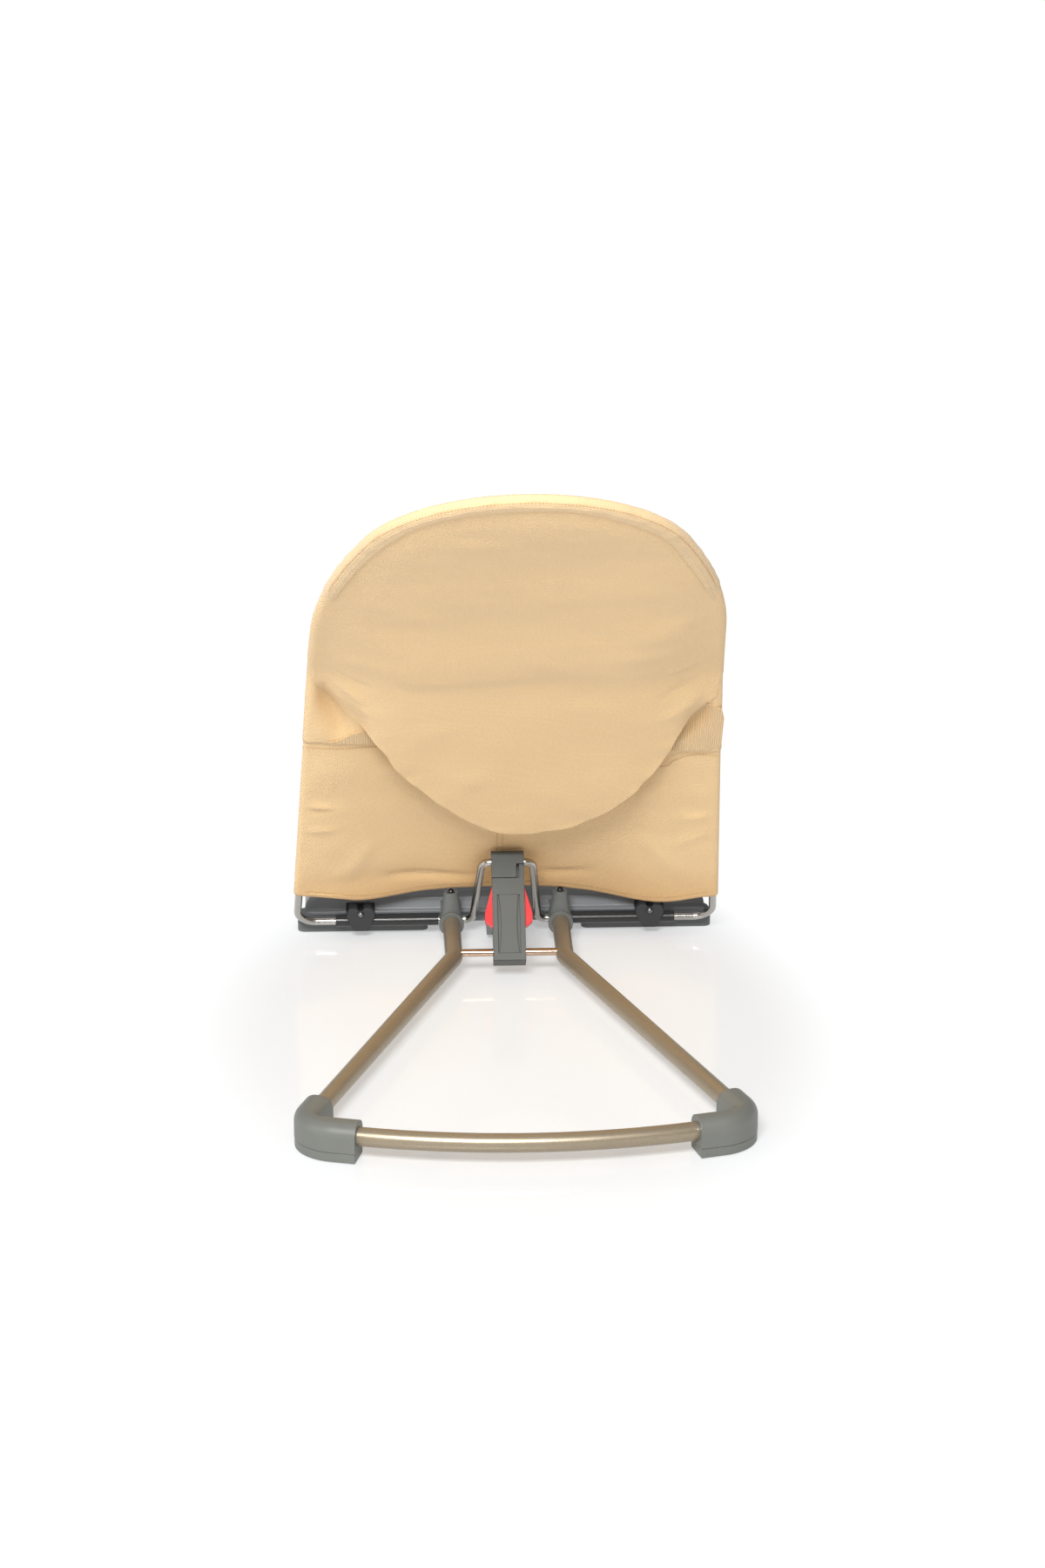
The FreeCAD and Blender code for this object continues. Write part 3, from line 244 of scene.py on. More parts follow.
TAN = (0.735, 0.512, 0.268)
materials = {
    "twill": cloth("twill", TAN, 0.0021, 0.0017, 0.5, 0.5),
    "pad_twill": cloth("pad_twill", (0.74, 0.525, 0.292), 0.0018, 0.0015, 0.5, 0.4),
    "binding": cloth("binding", (0.69, 0.495, 0.278), 0.0012, 0.0012, 0.0, 0.35),
    "ribbed_knit": cloth("ribbed_knit", (0.72, 0.505, 0.275), 0.0020, 0.4, 0.0, 1.0),
    # The thread is darker than the cloth. This is partly its own colour and partly painted shade that stands in
    # for the needle holes.
    "thread": cloth("thread", (0.62, 0.41, 0.21), 0.0006, 0.0006, 0.5, 0.4),
    "tube_paint": metal("tube_paint", (0.315, 0.26, 0.185), 0.36, 0.62, flake=0.7),
    "rod_steel": metal("rod_steel", (0.52, 0.38, 0.28), 0.16, 1.0, streak=0.6),
    "wire_chrome": metal("wire_chrome", (0.44, 0.42, 0.39), 0.2, 1.0, streak=0.15),
    "screw_steel": metal("screw_steel", (0.20, 0.20, 0.20), 0.32, 1.0, streak=0.8),
    "beam_plastic": plastic("beam_plastic", (0.150, 0.157, 0.163), 0.34),
    "plate_plastic": plastic("plate_plastic", (0.115, 0.122, 0.118), 0.42),
    "strut_plastic": plastic("strut_plastic", (0.040, 0.044, 0.039), 0.40),
    "foot_plastic": plastic("foot_plastic", (0.138, 0.142, 0.127), 0.42, edge=0.0012),
    "clamp_plastic": plastic("clamp_plastic", (0.022, 0.023, 0.024), 0.38),
    "sleeve_plastic": plastic("sleeve_plastic", (0.012, 0.012, 0.012), 0.30),
    "black_screw": plastic("black_screw", (0.008, 0.008, 0.009), 0.16, grain=0.05),
    "grip_rubber": plastic("grip_rubber", (0.018, 0.018, 0.018), 0.75, grain=0.6),
    "red_plastic": plastic("red_plastic", (0.60, 0.008, 0.012), 0.26, grain=0.1),
    "button_plastic": plastic("button_plastic", (0.60, 0.46, 0.30), 0.35, grain=0.1),
}
FINISHES = {
    "tube_paint": ["base_tube"],
    "rod_steel": ["cross_rod"],
    "wire_chrome": ["seat_wire"],
    "screw_steel": ["clamp_screws", "foot_screws", "cap_screws", "wing_pins", "lock_spring"],
    "beam_plastic": ["front_crossmember"],
    "plate_plastic": ["front_foot_left", "front_foot_right", "socket_left", "socket_right"],
    "strut_plastic": ["strut_body", "strut_cap"],
    "foot_plastic": ["rear_foot_cover_left", "rear_foot_cover_right",
                     "rear_foot_sole_left", "rear_foot_sole_right"],
    "clamp_plastic": ["hinge_clamp_left", "hinge_clamp_right"],
    "sleeve_plastic": ["hinge_sleeve_left", "hinge_sleeve_right"],
    "black_screw": ["socket_screws"],
    "grip_rubber": ["front_grip_left", "front_grip_right", "rear_grip_left", "rear_grip_right"],
    "red_plastic": ["lock_wing_left", "lock_wing_right"],
    "button_plastic": ["bib_buttons"],
}
for finish, nodes in FINISHES.items():
    for node in nodes:
        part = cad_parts[node]
        part.data.materials.clear()
        part.data.materials.append(materials[finish])


# ---------------------------------------------------------------- the seat's own axes

HINGE_Y, HINGE_Z = -0.246, 0.015
LOWER_ANGLE, UPPER_ANGLE = math.radians(53.0), math.radians(38.2)
BEND, BEND_RADIUS = 0.403, 0.150
BEND_HALF = BEND_RADIUS * math.tan((LOWER_ANGLE - UPPER_ANGLE) / 2)
RIM_CORNERS = [
    (0.1915, 0.0, 0.0), (0.161, 0.593, 0.590), (0.0885, 0.770, 0.1305),
    (-0.0885, 0.770, 0.1305), (-0.161, 0.593, 0.590), (-0.1915, 0.0, 0.0),
]


def on_seat(x, along, out):
    """Points from distance across, length up the bent seat, and height towards the sitter."""
    x, along, out = np.broadcast_arrays(*(np.asarray(value, float) for value in (x, along, out)))
    bend_start, bend_end = BEND - BEND_HALF, BEND + BEND_HALF
    angle = np.interp(along, (bend_start, bend_end), (LOWER_ANGLE, UPPER_ANGLE))
    low = np.minimum(along, bend_start)
    high = np.maximum(along - bend_end, 0)
    y = low * math.cos(LOWER_ANGLE) + high * math.cos(UPPER_ANGLE)
    z = low * math.sin(LOWER_ANGLE) + high * math.sin(UPPER_ANGLE)
    y = HINGE_Y + y + BEND_RADIUS * (math.sin(LOWER_ANGLE) - np.sin(angle))
    z = HINGE_Z + z + BEND_RADIUS * (np.cos(angle) - math.cos(LOWER_ANGLE))
    return np.stack([x, y - out * np.sin(angle), z + out * np.cos(angle)], -1)


def even_line(points, step):
    """The same polyline with even steps."""
    points = np.asarray(points, float)
    length = np.r_[0, np.cumsum(np.linalg.norm(np.diff(points, axis=0), axis=1))]
    places = np.linspace(0, length[-1], max(3, round(length[-1] / step) + 1))
    return np.stack([np.interp(places, length, column) for column in points.T], -1)


def rounded_line(corners, step=0.004):
    """Even points along straight runs joined by arcs; each corner is (x, along, radius)."""
    flat = [np.array(corner[:2]) for corner in corners]
    points = [flat[0]]
    for before, corner, after, radius in zip(flat, flat[1:], flat[2:], [c[2] for c in corners[1:]]):
        incoming = (corner - before) / np.linalg.norm(corner - before)
        outgoing = (after - corner) / np.linalg.norm(after - corner)
        turn = math.acos(np.clip(incoming @ outgoing, -1, 1))
        hand = np.sign(incoming[0] * outgoing[1] - incoming[1] * outgoing[0])
        inward = np.array([-incoming[1], incoming[0]]) * hand
        centre = corner - incoming * radius * math.tan(turn / 2) + inward * radius
        for angle in np.linspace(0, turn, 24):
            points.append(centre + radius * (incoming * math.sin(angle) - inward * math.cos(angle)))
    points.append(flat[-1])
    return even_line(points, step)


def smooth_line(points, step=0.004):
    """Even points on a smooth curve through the given ones."""
    points = np.asarray(points, float)
    padded = np.vstack([2 * points[0] - points[1], points, 2 * points[-1] - points[-2]])
    share = np.linspace(0, 1, 12, endpoint=False)[:, None]
    runs = []
    for a, b, c, d in zip(padded, padded[1:], padded[2:], padded[3:]):
        runs.append(0.5 * (2 * b + (c - a) * share + (2 * a - 5 * b + 4 * c - d) * share ** 2
                           + (3 * b - a - 3 * c + d) * share ** 3))
    runs.append(points[-1:])
    return even_line(np.vstack(runs), step)


def outward(line):
    """Normals on the right-hand side of a line, which is outside when it runs counter-clockwise."""
    run = np.gradient(line, axis=0)
    run /= np.linalg.norm(run, axis=1)[:, None]
    return np.stack([run[:, 1], -run[:, 0]], -1)


def smoothstep(value):
    value = np.clip(value, 0, 1)
    return value * value * (3 - 2 * value)


RIM = rounded_line(RIM_CORNERS)
LEFT_RIM = RIM[:len(RIM) // 2 + 1]


def half_width(along):
    return np.interp(along, LEFT_RIM[:, 1], LEFT_RIM[:, 0])


def pad_back(along):
    """Height of the front pad's back, over the wire's plane."""
    return np.interp(along, (0.042, 0.13, 0.30, 0.70, 0.755), (0.0142, 0.0142, 0.0058, 0.0058, 0.005))


# ---------------------------------------------------------------- folds and waves in cloth

def waves(x, along, size, seed):
    """Soft random waves, about -1 to 1, a given size across."""
    random = np.random.default_rng(seed)
    total = 0
    for _ in range(7):
        heading = random.uniform(0, math.pi)
        pitch = size * random.uniform(0.7, 1.6)
        phase = random.uniform(0, 2 * math.pi)
        total = total + np.sin(2 * math.pi * (x * math.cos(heading) + along * math.sin(heading)) / pitch + phase)
    return total / 3


def fold(x, along, start, end, width, height):
    """A ridge (or, below zero, a valley) along a line from start to end, which dies away at both."""
    start, end = np.array(start) * MM, np.array(end) * MM
    run = end - start
    share = ((x - start[0]) * run[0] + (along - start[1]) * run[1]) / (run @ run)
    near = np.clip(share, 0, 1)
    gap = np.hypot(x - start[0] - near * run[0], along - start[1] - near * run[1])
    fade = np.sin(math.pi * np.clip(share * 0.9 + 0.05, 0, 1)) ** 0.6
    return height * MM * np.exp(-(gap / (width * MM)) ** 2) * fade


def folds(x, along, lines):
    return sum(fold(x, along, *line) for line in lines)


# ---------------------------------------------------------------- meshes

def add_mesh(name, points, faces, flat, finish):
    """A piece on the seat with its cloth coordinates, in metres, in the attribute that the weave reads."""
    mesh = bpy.data.meshes.new(name)
    mesh.from_pydata(np.asarray(points, float).reshape(-1, 3).tolist(), [], faces)
    mesh.polygons.foreach_set("use_smooth", [True] * len(mesh.polygons))
    mesh.materials.append(materials[finish])
    piece = bpy.data.objects.new(name, mesh)
    scene.collection.objects.link(piece)
    set_flat(piece, flat)
    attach(piece, "seat")
    return piece


def set_flat(piece, flat):
    flat = np.asarray(flat, float).reshape(-1, 2)
    attribute = piece.data.attributes.new("cloth", "FLOAT_VECTOR", "POINT")
    attribute.data.foreach_set("vector", np.c_[flat, np.zeros(len(flat))].astype(np.float32).ravel())


def grid_faces(rows, columns, closed=False, first=0, flip=False):
    """Quads of a grid whose points come row by row."""
    last = columns if closed else columns - 1
    faces = []
    for row in range(rows - 1):
        for column in range(last):
            a = first + row * columns + column
            b = first + row * columns + (column + 1) % columns
            quad = (a, b, b + columns, a + columns)
            faces.append(quad[::-1] if flip else quad)
    return faces


def thicken(piece, thickness, offset=-1.0):
    solid = piece.modifiers.new("thickness", "SOLIDIFY")
    solid.thickness = thickness
    solid.offset = offset
    return piece


def wrap_profile(along, radius, steps=7, front_steps=6, reach=0.016):
    """From the rear of the wire round its outside to the front pad: (beyond the wire, out) for each point."""
    along = np.asarray(along, float)[..., None]
    turn = np.linspace(0, math.pi / 2, steps)
    beyond = radius * np.sin(turn) + 0 * along
    out = -radius * np.cos(turn) + 0 * along
    end_out = pad_back(along) + 0.0006
    share = np.linspace(0, 1, front_steps + 1)[1:]
    rest = (1 - share) ** 2
    pull = 2 * share * (1 - share)
    front_beyond = radius * (rest + pull) - reach * share ** 2
    front_out = (0.75 * pull + share ** 2) * end_out
    return (np.concatenate([beyond, front_beyond + 0 * along], -1), np.concatenate([out, front_out], -1))


def sleeve(name, low_line, high_line, rows, radius, rear, finish, hem_low=True, hem_high=True):
    """Rear panel that wraps both side wires, between a lower and an upper line across the seat."""
    spread = np.linspace(-1, 1, 97)
    spread = np.sign(spread) * (1 - (1 - np.abs(spread)) ** 1.15)
    shares = np.linspace(0, 1, rows)
    low_line, high_line = (np.array(sorted(map(tuple, line))) * MM for line in (low_line, high_line))
    low_at = np.interp(spread * 0.19, low_line[:, 0], low_line[:, 1])
    high_at = np.interp(spread * 0.18, high_line[:, 0], high_line[:, 1])
    along = low_at + (high_at - low_at) * shares[:, None]
    width = half_width(along)
    x = spread * width
    out = rear(x, along, radius)
    sides = []
    for hand, column in ((-1, 0), (1, -1)):
        edge_along = along[:, column]
        beyond, height = wrap_profile(edge_along, radius)
        side_x = hand * (width[:, column][:, None] + beyond[:, 1:])
        sides.append((side_x, edge_along[:, None] + 0 * side_x, height[:, 1:]))
    (lx, la, lo), (rx, ra, ro) = sides
    x = np.hstack([lx[:, ::-1], x, rx])
    along = np.hstack([la[:, ::-1], along, ra])
    out = np.hstack([lo[:, ::-1], out, ro])

    run_x, run_out = np.gradient(x, axis=1), np.gradient(out, axis=1)
    length = np.hypot(run_x, run_out) + 1e-9
    in_x, in_out = -run_out / length, run_x / length

    def folded(row, direction):
        """Rows of a hem folded to the inside at the lower (-1) or upper (1) edge."""
        found = []
        for back, depth in ((7.0, 1.1), (2.5, 1.1), (0.5, 0.95), (-0.1, 0.55)):
            found.append((x[row] + in_x[row] * depth * MM, along[row] - direction * back * MM,
                          out[row] + in_out[row] * depth * MM))
        return found

    before = folded(0, -1) if hem_low else []
    after = folded(-1, 1)[::-1] if hem_high else []
    stack = [np.vstack([[r[i] for r in before] + list(grid) + [r[i] for r in after]])
             for i, grid in enumerate((x, along, out))]
    points = on_seat(*stack)
    flat_x = np.cumsum(np.r_[0, np.hypot(np.diff(stack[0][len(before)]), np.diff(stack[2][len(before)]))])
    flat = np.stack([np.broadcast_to(flat_x - flat_x[len(flat_x) // 2], stack[0].shape), stack[1]], -1)
    return add_mesh(name, points, grid_faces(*stack[0].shape, flip=True), flat, finish)


def patch(name, outline, centre, rings, height, finish, radius=0.0009, wrap=None, facing=-1):
    """Sheet that fills a closed outline from a centre and faces the rear (-1) or the sitter (1). Its edge is
    rolled under with a small radius, or where wrap is 1, goes round the wire and on to the front pad."""
    outline = np.asarray(outline, float)
    columns = len(outline)
    closed = np.vstack([outline[-1:], outline, outline[:1]])
    normal = outward(closed)[1:-1]
    wrap = np.zeros(columns) if wrap is None else wrap
    share = 1 - (1 - np.linspace(0, 1, rings + 1)[1:]) ** 1.12
    x = centre[0] + (outline[:, 0] - centre[0]) * share[:, None]
    along = centre[1] + (outline[:, 1] - centre[1]) * share[:, None]
    out = height(x, along)
    edge_out = out[-1]
    rolled_turn = np.linspace(0, math.pi, 13)[1:]
    rolled_beyond = radius * np.sin(rolled_turn) + 0 * edge_out[:, None]
    rolled_out = edge_out[:, None] - facing * radius * (1 - np.cos(rolled_turn))
    wrapped_beyond, wrapped_out = wrap_profile(outline[:, 1], RIM_SHEET_RADIUS)
    beyond = rolled_beyond + (wrapped_beyond[:, 1:] - rolled_beyond) * wrap[:, None]
    edge = rolled_out + (wrapped_out[:, 1:] - rolled_out) * wrap[:, None]
    x = np.vstack([x, (outline[:, :1] + normal[:, :1] * beyond).T])
    along = np.vstack([along, (outline[:, 1:] + normal[:, 1:] * beyond).T])
    out = np.vstack([out, edge.T])
    middle = on_seat(*centre, height(np.array([centre[0]]), np.array([centre[1]])))
    points = np.vstack([middle.reshape(1, 3), on_seat(x, along, out).reshape(-1, 3)])
    flat = np.vstack([[centre], np.stack([x, along], -1).reshape(-1, 2)])
    faces = grid_faces(len(x), columns, closed=True, first=1)
    faces += [(0, 1 + (column + 1) % columns, 1 + column) for column in range(columns)]
    if facing > 0:
        faces = [face[::-1] for face in faces]
    return add_mesh(name, points, faces, flat, finish)


def stitches(name, lines, pitch=2.9, length=2.0, width=0.62, facing=-1, finish="thread"):
    """Rows of thread stitches on the rear (-1) or the sitter's (1) side of the cloth; each line is an array of
    (x, along, out) that lies on it."""
    points, faces, flat = [], [], []
    ring = [(-0.5, 0.0), (-0.34, 0.75), (0.34, 0.75), (0.5, 0.0)]
    for line in lines:
        spots = even_line(line, pitch * MM)
        world = on_seat(spots[:, 0], spots[:, 1], spots[:, 2])
        lifted = on_seat(spots[:, 0], spots[:, 1], spots[:, 2] + facing * 0.001)
        for place, up, run in zip(world, lifted - world, np.gradient(world, axis=0)):
            run = run / np.linalg.norm(run)
            up = up / np.linalg.norm(up)
            side = np.cross(run, up)
            first = len(points)
            for end, swell in ((-0.5, 0.3), (-0.3, 1.0), (0.3, 1.0), (0.5, 0.3)):
                for across, rise in ring:
                    step = run * end * length + side * across * width * swell + up * (rise * swell * 0.45)
                    points.append(place + step * MM)
                    flat.append((end * 0.002, across * 0.0006))
            faces += grid_faces(4, 4, closed=True, first=first)
            faces += [(first + 3, first + 2, first + 1, first), (first + 12, first + 13, first + 14, first + 15)]
    return add_mesh(name, points, faces, flat, finish)


# ---------------------------------------------------------------- the cloth's surfaces

def rim_gap(x, along):
    """Distance from the wire's line, across the seat's face."""
    x, along = np.broadcast_arrays(np.asarray(x, float), np.asarray(along, float))
    gaps = [np.hypot(x - px, along - py) for px, py in RIM[::2]]
    return np.min(gaps, axis=0)


def wrapped(x, along, radius, middle, relief):
    """A rear panel's outer face: level with the wire's wrap at the sides and at its own height between."""
    spread = np.abs(x) / half_width(along)
    rise = 1 - smoothstep((spread - 0.35) / 0.65)
    return -radius + (middle + radius) * rise - relief * smoothstep((1 - spread) / 0.06)


LOWER_FOLDS = [
    ((186, 203), (146, 186), 6, 2.4), ((186, 194), (150, 188), 4, -2.2), ((185, 163), (154, 156), 5, 1.8),
    ((-186, 178), (-150, 168), 6, 1.8), ((-184, 150), (-140, 120), 7, 1.4),
    ((108, 64), (30, 56), 6, -3.0), ((-26, 61), (-78, 62), 6, -2.6),
    ((150, 72), (120, 130), 10, 1.8), ((-152, 74), (-124, 132), 10, 1.8),
    ((110, 250), (40, 215), 12, 1.6), ((-112, 232), (-44, 205), 12, 1.6),
]
UPPER_FOLDS = [
    ((168, 388), (145, 312), 9, -9.0), ((174, 330), (162, 304), 5, 1.2), ((-172, 352), (-145, 300), 8, -6.5),
    ((-180, 330), (-170, 290), 4, 1.0)]
POCKET_FOLDS = [
    ((165, 410), (128, 372), 6, 2.6), ((160, 425), (120, 395), 6, -1.6), ((-168, 380), (-128, 340), 7, 2.4),
    ((-166, 402), (-122, 372), 7, -1.8), ((-164, 432), (-126, 418), 6, 1.6), ((-60, 190), (-20, 250), 14, 1.4),
    ((58, 214), (24, 262), 14, 1.4), ((140, 520), (100, 470), 16, 1.2), ((-142, 540), (-104, 486), 16, 1.4),
    ((-30, 700), (-70, 640), 18, 1.0), ((44, 706), (70, 650), 18, 0.9), ((90, 300), (60, 340), 15, 1.2),
]


def lower_back_out(x, along, radius=0.0049):
    middle = np.interp(along, (0.042, 0.130, 0.240, 0.300), (0.0115, 0.0115, 0.0058, 0.0038))
    relief = folds(x, along, LOWER_FOLDS) + 0.0006 * waves(x, along, 0.09, 3)
    relief = relief + 0.00025 * waves(x * 0.5, along, 0.03, 4)
    return wrapped(x, along, radius, middle, relief)


def upper_back_out(x, along, radius=0.0056):
    relief = folds(x, along, UPPER_FOLDS) + 0.0004 * waves(x, along, 0.09, 5)
    return wrapped(x, along, radius, 0.0026, relief)


POCKET_RADIUS = 0.0063


FREE_EDGE = smooth_line([
    (-174, 368), (-160, 345), (-145, 318), (-130, 270), (-112, 230), (-88, 192), (-58, 167), (-28, 156), (0, 153),
    (22, 163), (50, 190), (78, 229), (100, 266), (113, 300), (131, 325), (148, 348), (163, 374),
    (172, 402)], 3.0) * MM
FREE_EDGE = FREE_EDGE + outward(FREE_EDGE) * 0.0006 * waves(*FREE_EDGE.T, 0.035, 15)[:, None]


def edge_gap(x, along):
    """Distance from the pocket's free edge, across the seat's face."""
    x, along = np.broadcast_arrays(np.asarray(x, float), np.asarray(along, float))
    return np.min([np.hypot(x - px, along - py) for px, py in FREE_EDGE[::2]], axis=0)


def pocket_out(x, along):
    gap = rim_gap(x, along)
    inside = smoothstep(gap / 0.035)
    free = smoothstep((0.30 - np.asarray(along, float)) / 0.15)
    relief = folds(x, along, POCKET_FOLDS) + 0.0009 * waves(x, along, 0.13, 8)
    relief = relief + 0.00035 * waves(x * 0.35, along, 0.026, 9)
    bridge = 0.014 * np.exp(-((along - BEND) / 0.125) ** 2) * smoothstep(gap / 0.085)
    out = -POCKET_RADIUS - (0.0024 + relief) * inside + 0.0012 * free * inside - bridge
    from_edge = edge_gap(x, along)
    out = out - 0.0005 * waves(x, along, 0.022, 16) * (1 - smoothstep(from_edge / 0.022)) * inside
    near = 1 - smoothstep(from_edge / np.where(x > 0, 0.026, 0.014))
    merging = smoothstep((x - 0.116) / 0.016) + smoothstep((-x - 0.140) / 0.016)
    return out + (upper_back_out(x, along) - 0.0011 - out) * near * merging


# ---------------------------------------------------------------- the rear panels

HEM = smooth_line([
    (-190, 41), (-172, 36), (-159, 31), (-145, 26), (-131, 23), (-113, 22.5), (-95, 24.5), (-70, 30.5),
    (-46, 36.3),
    (-15, 38.6), (17, 38.3), (45, 37), (65, 34), (88, 31), (105, 30), (120, 31), (136, 34), (152, 41), (172, 48),
    (190, 52)], 2.0)
SEAM = smooth_line([
    (-181, 277), (-165, 277), (-153, 275), (-142, 267), (-129, 256), (-60, 256), (0, 268), (60, 280), (110, 288),
    (127, 291), (150, 293), (168, 296), (181, 299)], 4.0)

lower_back = sleeve("lower_back_cloth", HEM, SEAM + (0, 10.0), 90, 0.0049, lower_back_out, "twill")
upper_back = sleeve("upper_back_cloth", SEAM, [(-180, 612), (180, 612)], 96, 0.0056, upper_back_out,
                    "twill", hem_high=False)
thicken(lower_back, 0.0008)
thicken(upper_back, 0.0006)
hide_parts("lower_back_panel")
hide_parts("upper_back_panel")


# ---------------------------------------------------------------- the head pocket and its gussets

RIM_SHEET_RADIUS = POCKET_RADIUS
pocket_rim = RIM[4:-4]
first_rim = np.argmax(pocket_rim[:, 1] > 0.404)
last_rim = len(pocket_rim) - np.argmax(pocket_rim[::-1, 1] > 0.371)
pocket_rim = even_line(pocket_rim[first_rim:last_rim], 0.003)
pocket_outline = np.vstack([pocket_rim, FREE_EDGE[1:-1]])
along_rim = np.arange(len(pocket_outline)) < len(pocket_rim)
places = np.arange(len(pocket_outline))
to_ends = np.minimum(places, len(pocket_rim) - 1 - places)
pocket_wrap = np.where(along_rim, smoothstep((to_ends + 1) / 9.0), 0.0)

pocket = patch("head_pocket_cloth", pocket_outline, (-0.004, 0.46), 60, pocket_out, "twill",
               wrap=pocket_wrap)
thicken(pocket, 0.0006)
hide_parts("head_pocket")


def gusset_out(x, along):
    return upper_back_out(x, along) - 0.0009 - 0.0002 * waves(x, along, 0.03, 12)


for side, corners in (
    ("left", [(100, 288), (127, 293.5), (160, 300), (147, 304), (137, 311), (127, 314), (116, 312), (104, 300)]),
    ("right", [(-134, 279), (-153, 281), (-174, 283), (-181, 288), (-181, 330), (-178, 345), (-164, 350),
               (-148, 330), (-138, 300)]),
):
    outline = even_line(np.array(corners + corners[:1], float), 2.0)[:-1] * MM
    if side == "right":
        outline = outline[::-1]
    centre = outline.mean(axis=0)
    gusset = patch("gusset_" + side, outline, centre, 26, gusset_out, "ribbed_knit", radius=0.0006)
    thicken(gusset, 0.0008)
    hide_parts("pocket_gusset_" + side)


# ---------------------------------------------------------------- the binding round the head

def rim_band():
    """A strip sewn round the head end: from the front pad, over the wire, and down the pocket's face."""
    inside = RIM[RIM[:, 1] > 0.560]
    line = even_line(inside, 0.003)
    normal = outward(line)
    steps = np.r_[0, np.cumsum(np.linalg.norm(np.diff(line, axis=0), axis=1))]
    share = steps / steps[-1]
    near_end = smoothstep(np.minimum(share, 1 - share) / 0.22)
    sunk = 0.0013 * (1 - smoothstep(np.minimum(share, 1 - share) / 0.06))[:, None]
    flap = 0.0035 + 0.0030 * near_end + 0.0008 * np.sin(share * 31.0) * near_end
    radius = POCKET_RADIUS + 0.0007 - sunk
    beyond, height = wrap_profile(line[:, 1], radius, front_steps=9, reach=0.028)
    inboard = np.linspace(1, 0, 10)[:-1]
    flap_beyond = -flap[:, None] * inboard
    x = line[:, :1] + normal[:, :1] * flap_beyond
    along = line[:, 1:] + normal[:, 1:] * flap_beyond
    flap_out = pocket_out(x, along) - 0.0011 + sunk
    edge = np.stack([-flap + 0.0006, -flap - 0.0002, -flap - 0.0004], -1)
    edge_x = line[:, :1] + normal[:, :1] * edge
    edge_along = line[:, 1:] + normal[:, 1:] * edge
    edge_out = flap_out[:, :1] + np.array([0.0014, 0.0010, 0.0004])
    columns = [np.hstack([edge_x, x, line[:, :1] + normal[:, :1] * beyond]),
               np.hstack([edge_along, along, line[:, 1:] + normal[:, 1:] * beyond]),
               np.hstack([edge_out, flap_out, height])]
    puckers = 0.0005 * waves(steps[:, None] + 0 * columns[0], 4 * columns[2], 0.022, 21)
    round_it = smoothstep((columns[2] + 0.004) / 0.008)
    columns[0] = columns[0] + normal[:, :1] * puckers * round_it
    columns[1] = columns[1] + normal[:, 1:] * puckers * round_it
    columns[2] = columns[2] - 0.5 * puckers * (1 - round_it)
    points = on_seat(*columns)
    girth = np.cumsum(np.r_[0, np.hypot(np.diff(np.r_[edge[0], flap_beyond[0], beyond[0]]),
                                        np.diff(columns[2][0]))])
    flat = np.stack([girth + 0 * columns[0], steps[:, None] + 0 * columns[0]], -1)
    band = add_mesh("edge_binding", points, grid_faces(*columns[0].shape, flip=True), flat, "binding")
    turn = math.radians(38)
    radius = POCKET_RADIUS + 0.0009
    seam = (line + normal * radius * math.sin(turn))[near_end > 0.15]
    return band, np.c_[seam, np.full(len(seam), -radius * math.cos(turn))]


binding, binding_seam = rim_band()
thicken(binding, 0.0007)
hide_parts("edge_casing")


# ---------------------------------------------------------------- stitching on the rear

def line_on(surface, points, lift=0.0002):
    """A line of (x, along) points in millimetres, laid on a surface."""
    line = np.asarray(points, float) * MM
    return np.c_[line, surface(line[:, 0], line[:, 1]) - lift]


hem_row = HEM[np.abs(HEM[:, 0]) < 184] + (0, 8.0)
seam_row = SEAM[np.abs(SEAM[:, 0]) > 95] - (0, 6.0)
rows = [line_on(lower_back_out, hem_row), binding_seam]
for side in (-1, 1):
    rows.append(line_on(lower_back_out, seam_row[seam_row[:, 0] * side > 0]))
for x in (9.5, 4.5):
    rows.append(line_on(lower_back_out, [(x, 46), (x, 100), (x, 155)]))
stitches("rear_stitching", rows)


# ---------------------------------------------------------------- the bib's outline

BIB_OUTLINE = [
    (0, 60), (26, 60), (36, 64), (39, 74), (42, 140), (46, 205), (52, 236), (72, 251), (105, 254), (138, 256),
    (149, 262), (152, 276), (152, 310), (149, 325), (138, 331), (70, 334)]


BUTTON = (0.132, 0.300)  # across and along, where each button is sewn on
BUTTON_HOLD = 0.0009     # how much higher the cloth is held there


def bib_out(x, along):
    base = np.interp(along, (0.06, 0.13, 0.30, 0.34), (0.0272, 0.0272, 0.0190, 0.0186))
    droop = 0.0055 * smoothstep((np.abs(x) - 0.138) / 0.016)
    loose = smoothstep((np.hypot(np.abs(x) - BUTTON[0], along - BUTTON[1]) - 0.010) / 0.014)
    wavy = 0.0007 * waves(x, along, 0.08, 41) + 0.0002 * waves(x, along, 0.03, 42)
    return base - droop * loose + wavy * loose + BUTTON_HOLD * (1 - loose)


half = np.array(BIB_OUTLINE, float)
bib_line = np.vstack([half, [(0, 334)], half[:0:-1] * (-1, 1), half[:1]]) * MM
bib_line = smooth_line(bib_line, 0.0022)[:-1]


def inside_line(line, x, along):
    """Which points lie inside a closed line."""
    inside = np.zeros(np.shape(x), bool)
    for (ax, ay), (bx, by) in zip(line, np.roll(line, -1, axis=0)):
        if ay != by:
            crosses = ((ay > along) != (by > along)) & (x < (bx - ax) * (along - ay) / (by - ay) + ax)
            inside ^= crosses
    return inside


# ---------------------------------------------------------------- the front pad

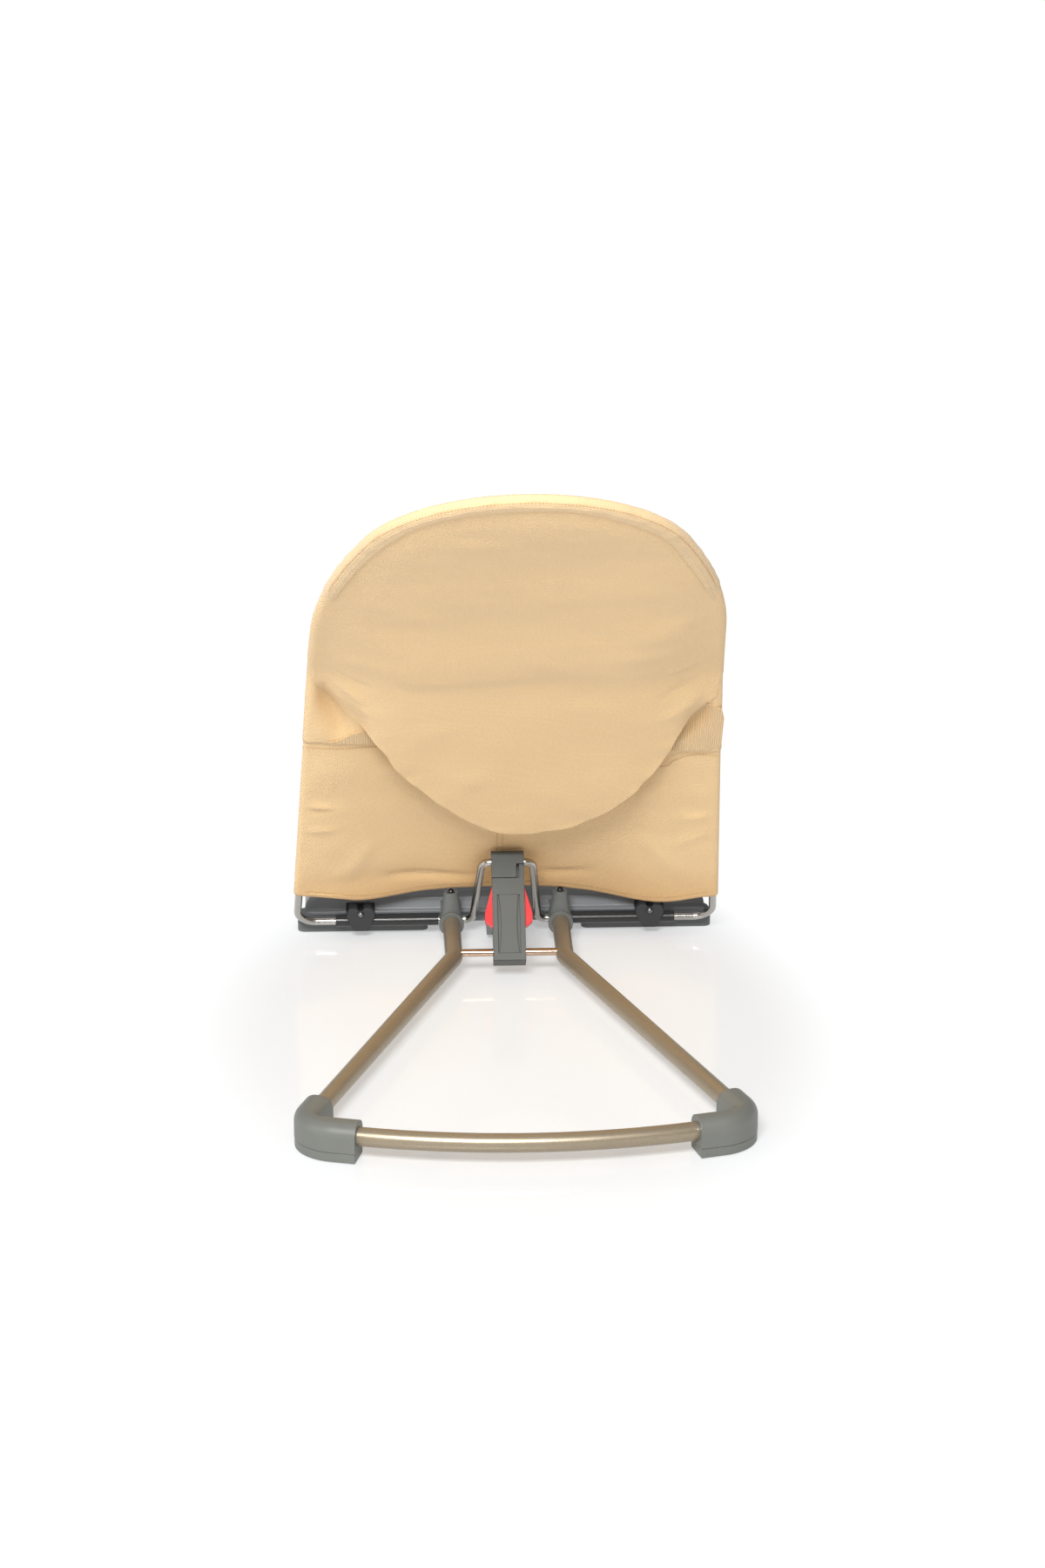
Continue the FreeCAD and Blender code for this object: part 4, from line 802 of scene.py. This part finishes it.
def off_seat(points):
    """The x, along and out of points in the frame: the reverse of on_seat."""
    bend_start, bend_end = BEND - BEND_HALF, BEND + BEND_HALF
    rel = points[:, 1:] - (HINGE_Y, HINGE_Z)
    low = np.array([math.cos(LOWER_ANGLE), math.sin(LOWER_ANGLE)])
    high = np.array([math.cos(UPPER_ANGLE), math.sin(UPPER_ANGLE)])
    first = rel @ low
    centre = low * bend_start + BEND_RADIUS * np.array([low[1], -low[0]])
    spoke = rel - centre
    turned = np.arctan2(-spoke[:, 0], spoke[:, 1])
    end = centre + BEND_RADIUS * np.array([-high[1], high[0]])
    second = (rel - end) @ high
    along = np.where(first < bend_start, first, bend_start + (LOWER_ANGLE - turned) * BEND_RADIUS)
    out = np.where(first < bend_start, rel @ (-low[1], low[0]), np.hypot(*spoke.T) - BEND_RADIUS)
    beyond = (first >= bend_start) & (second > 0)
    along = np.where(beyond, bend_end + second, along)
    out = np.where(beyond, (rel - end) @ (-high[1], high[0]), out)
    return points[:, 0], along, out


def points_of(mesh):
    found = np.empty(len(mesh.vertices) * 3, np.float32)
    mesh.vertices.foreach_get("co", found)
    return found.reshape(-1, 3).astype(float)


def place_points(mesh, points):
    mesh.vertices.foreach_set("co", np.asarray(points, np.float32).ravel())
    mesh.update()


def apply_modifiers(piece):
    evaluated = piece.evaluated_get(bpy.context.evaluated_depsgraph_get())
    mesh = bpy.data.meshes.new_from_object(evaluated)
    piece.modifiers.clear()
    piece.data = mesh
    return piece


def plump(piece, pressure, limit):
    """Fills the piece by a cloth simulation; no point moves further than the limit."""
    before = points_of(piece.data)
    cloth_sim = piece.modifiers.new("cloth", "CLOTH")
    settings = cloth_sim.settings
    settings.quality = 6
    settings.mass = 0.2
    settings.tension_stiffness = 20
    settings.compression_stiffness = 20
    settings.bending_stiffness = 0.6
    settings.use_pressure = True
    settings.uniform_pressure_force = pressure
    settings.effector_weights.gravity = 0
    cloth_sim.collision_settings.use_self_collision = False
    cloth_sim.point_cache.frame_start = 1
    cloth_sim.point_cache.frame_end = 20
    for number in range(1, 21):
        scene.frame_set(number)
    apply_modifiers(piece)
    scene.frame_set(1)
    moved = points_of(piece.data) - before
    size = np.linalg.norm(moved, axis=1)[:, None] + 1e-12
    place_points(piece.data, before + moved * np.minimum(1, limit / size))
    return piece


CHANNELS = (0.130, 0.215, 0.300, 0.403, 0.478, 0.553, 0.628)


def front_pad():
    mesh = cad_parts["seat_pad"].data.copy()
    pad = bpy.data.objects.new("seat_pad_cloth", mesh)
    scene.collection.objects.link(pad)
    remesh = pad.modifiers.new("remesh", "REMESH")
    remesh.mode = "VOXEL"
    remesh.voxel_size = 0.0045
    apply_modifiers(pad)
    plump(pad, 4.0, 0.0035)
    smooth = pad.modifiers.new("smooth", "SMOOTH")
    smooth.iterations = 10
    smooth.factor = 0.5
    divide = pad.modifiers.new("divide", "SUBSURF")
    divide.levels = 1
    apply_modifiers(pad)
    points = points_of(pad.data)
    x, along, out = off_seat(points)
    back = pad_back(along)
    front = smoothstep((out - back - 0.003) / 0.004)
    gap = rim_gap(x, along)
    quilted = smoothstep((gap - 0.020) / 0.012)
    channels = sum(np.exp(-((along - place - 0.010 * (1 - (x / 0.17) ** 2)) / 0.0055) ** 2) for place in CHANNELS)
    border = np.exp(-((gap - 0.022) / 0.0050) ** 2) * (along > 0.075)
    border = border + np.exp(-((along - 0.066) / 0.005) ** 2) * quilted
    puckers = 1 + 0.25 * waves(x, along, 0.02, 31)
    press = 0.0032 * (channels * quilted * puckers + border * puckers)
    bulge = 0.0010 * waves(x, along, 0.10, 32) + 0.0004 * waves(x, along, 0.035, 33)
    out = out + front * (bulge - press)
    under_bib = inside_line(bib_line, x, along)
    out = np.where(under_bib, np.minimum(out, bib_out(x, along) - 0.0016), out)
    out = np.maximum(out, back - 0.0005)
    place_points(pad.data, on_seat(x, along, out))
    pad.data.polygons.foreach_set("use_smooth", [True] * len(pad.data.polygons))
    pad.data.materials.clear()
    pad.data.materials.append(materials["pad_twill"])
    set_flat(pad, np.stack([x, along], -1))
    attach(pad, "seat")
    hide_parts("seat_pad")
    return pad


pad = front_pad()


# ---------------------------------------------------------------- the restraint bib

bib = patch("bib_cloth", bib_line, (0.0, 0.283), 40, bib_out, "twill", radius=0.0020, facing=1)
thicken(bib, 0.0008)
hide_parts("restraint_bib")

bib_inward = -outward(np.vstack([bib_line[-1:], bib_line, bib_line[:1]]))[1:-1]
bib_row = bib_line + bib_inward * 0.006
bib_row = np.vstack([bib_row, bib_row[:1]])
rows = [np.c_[bib_row, bib_out(bib_row[:, 0], bib_row[:, 1]) + 0.0002]]
stitches("front_stitching", rows, facing=1)
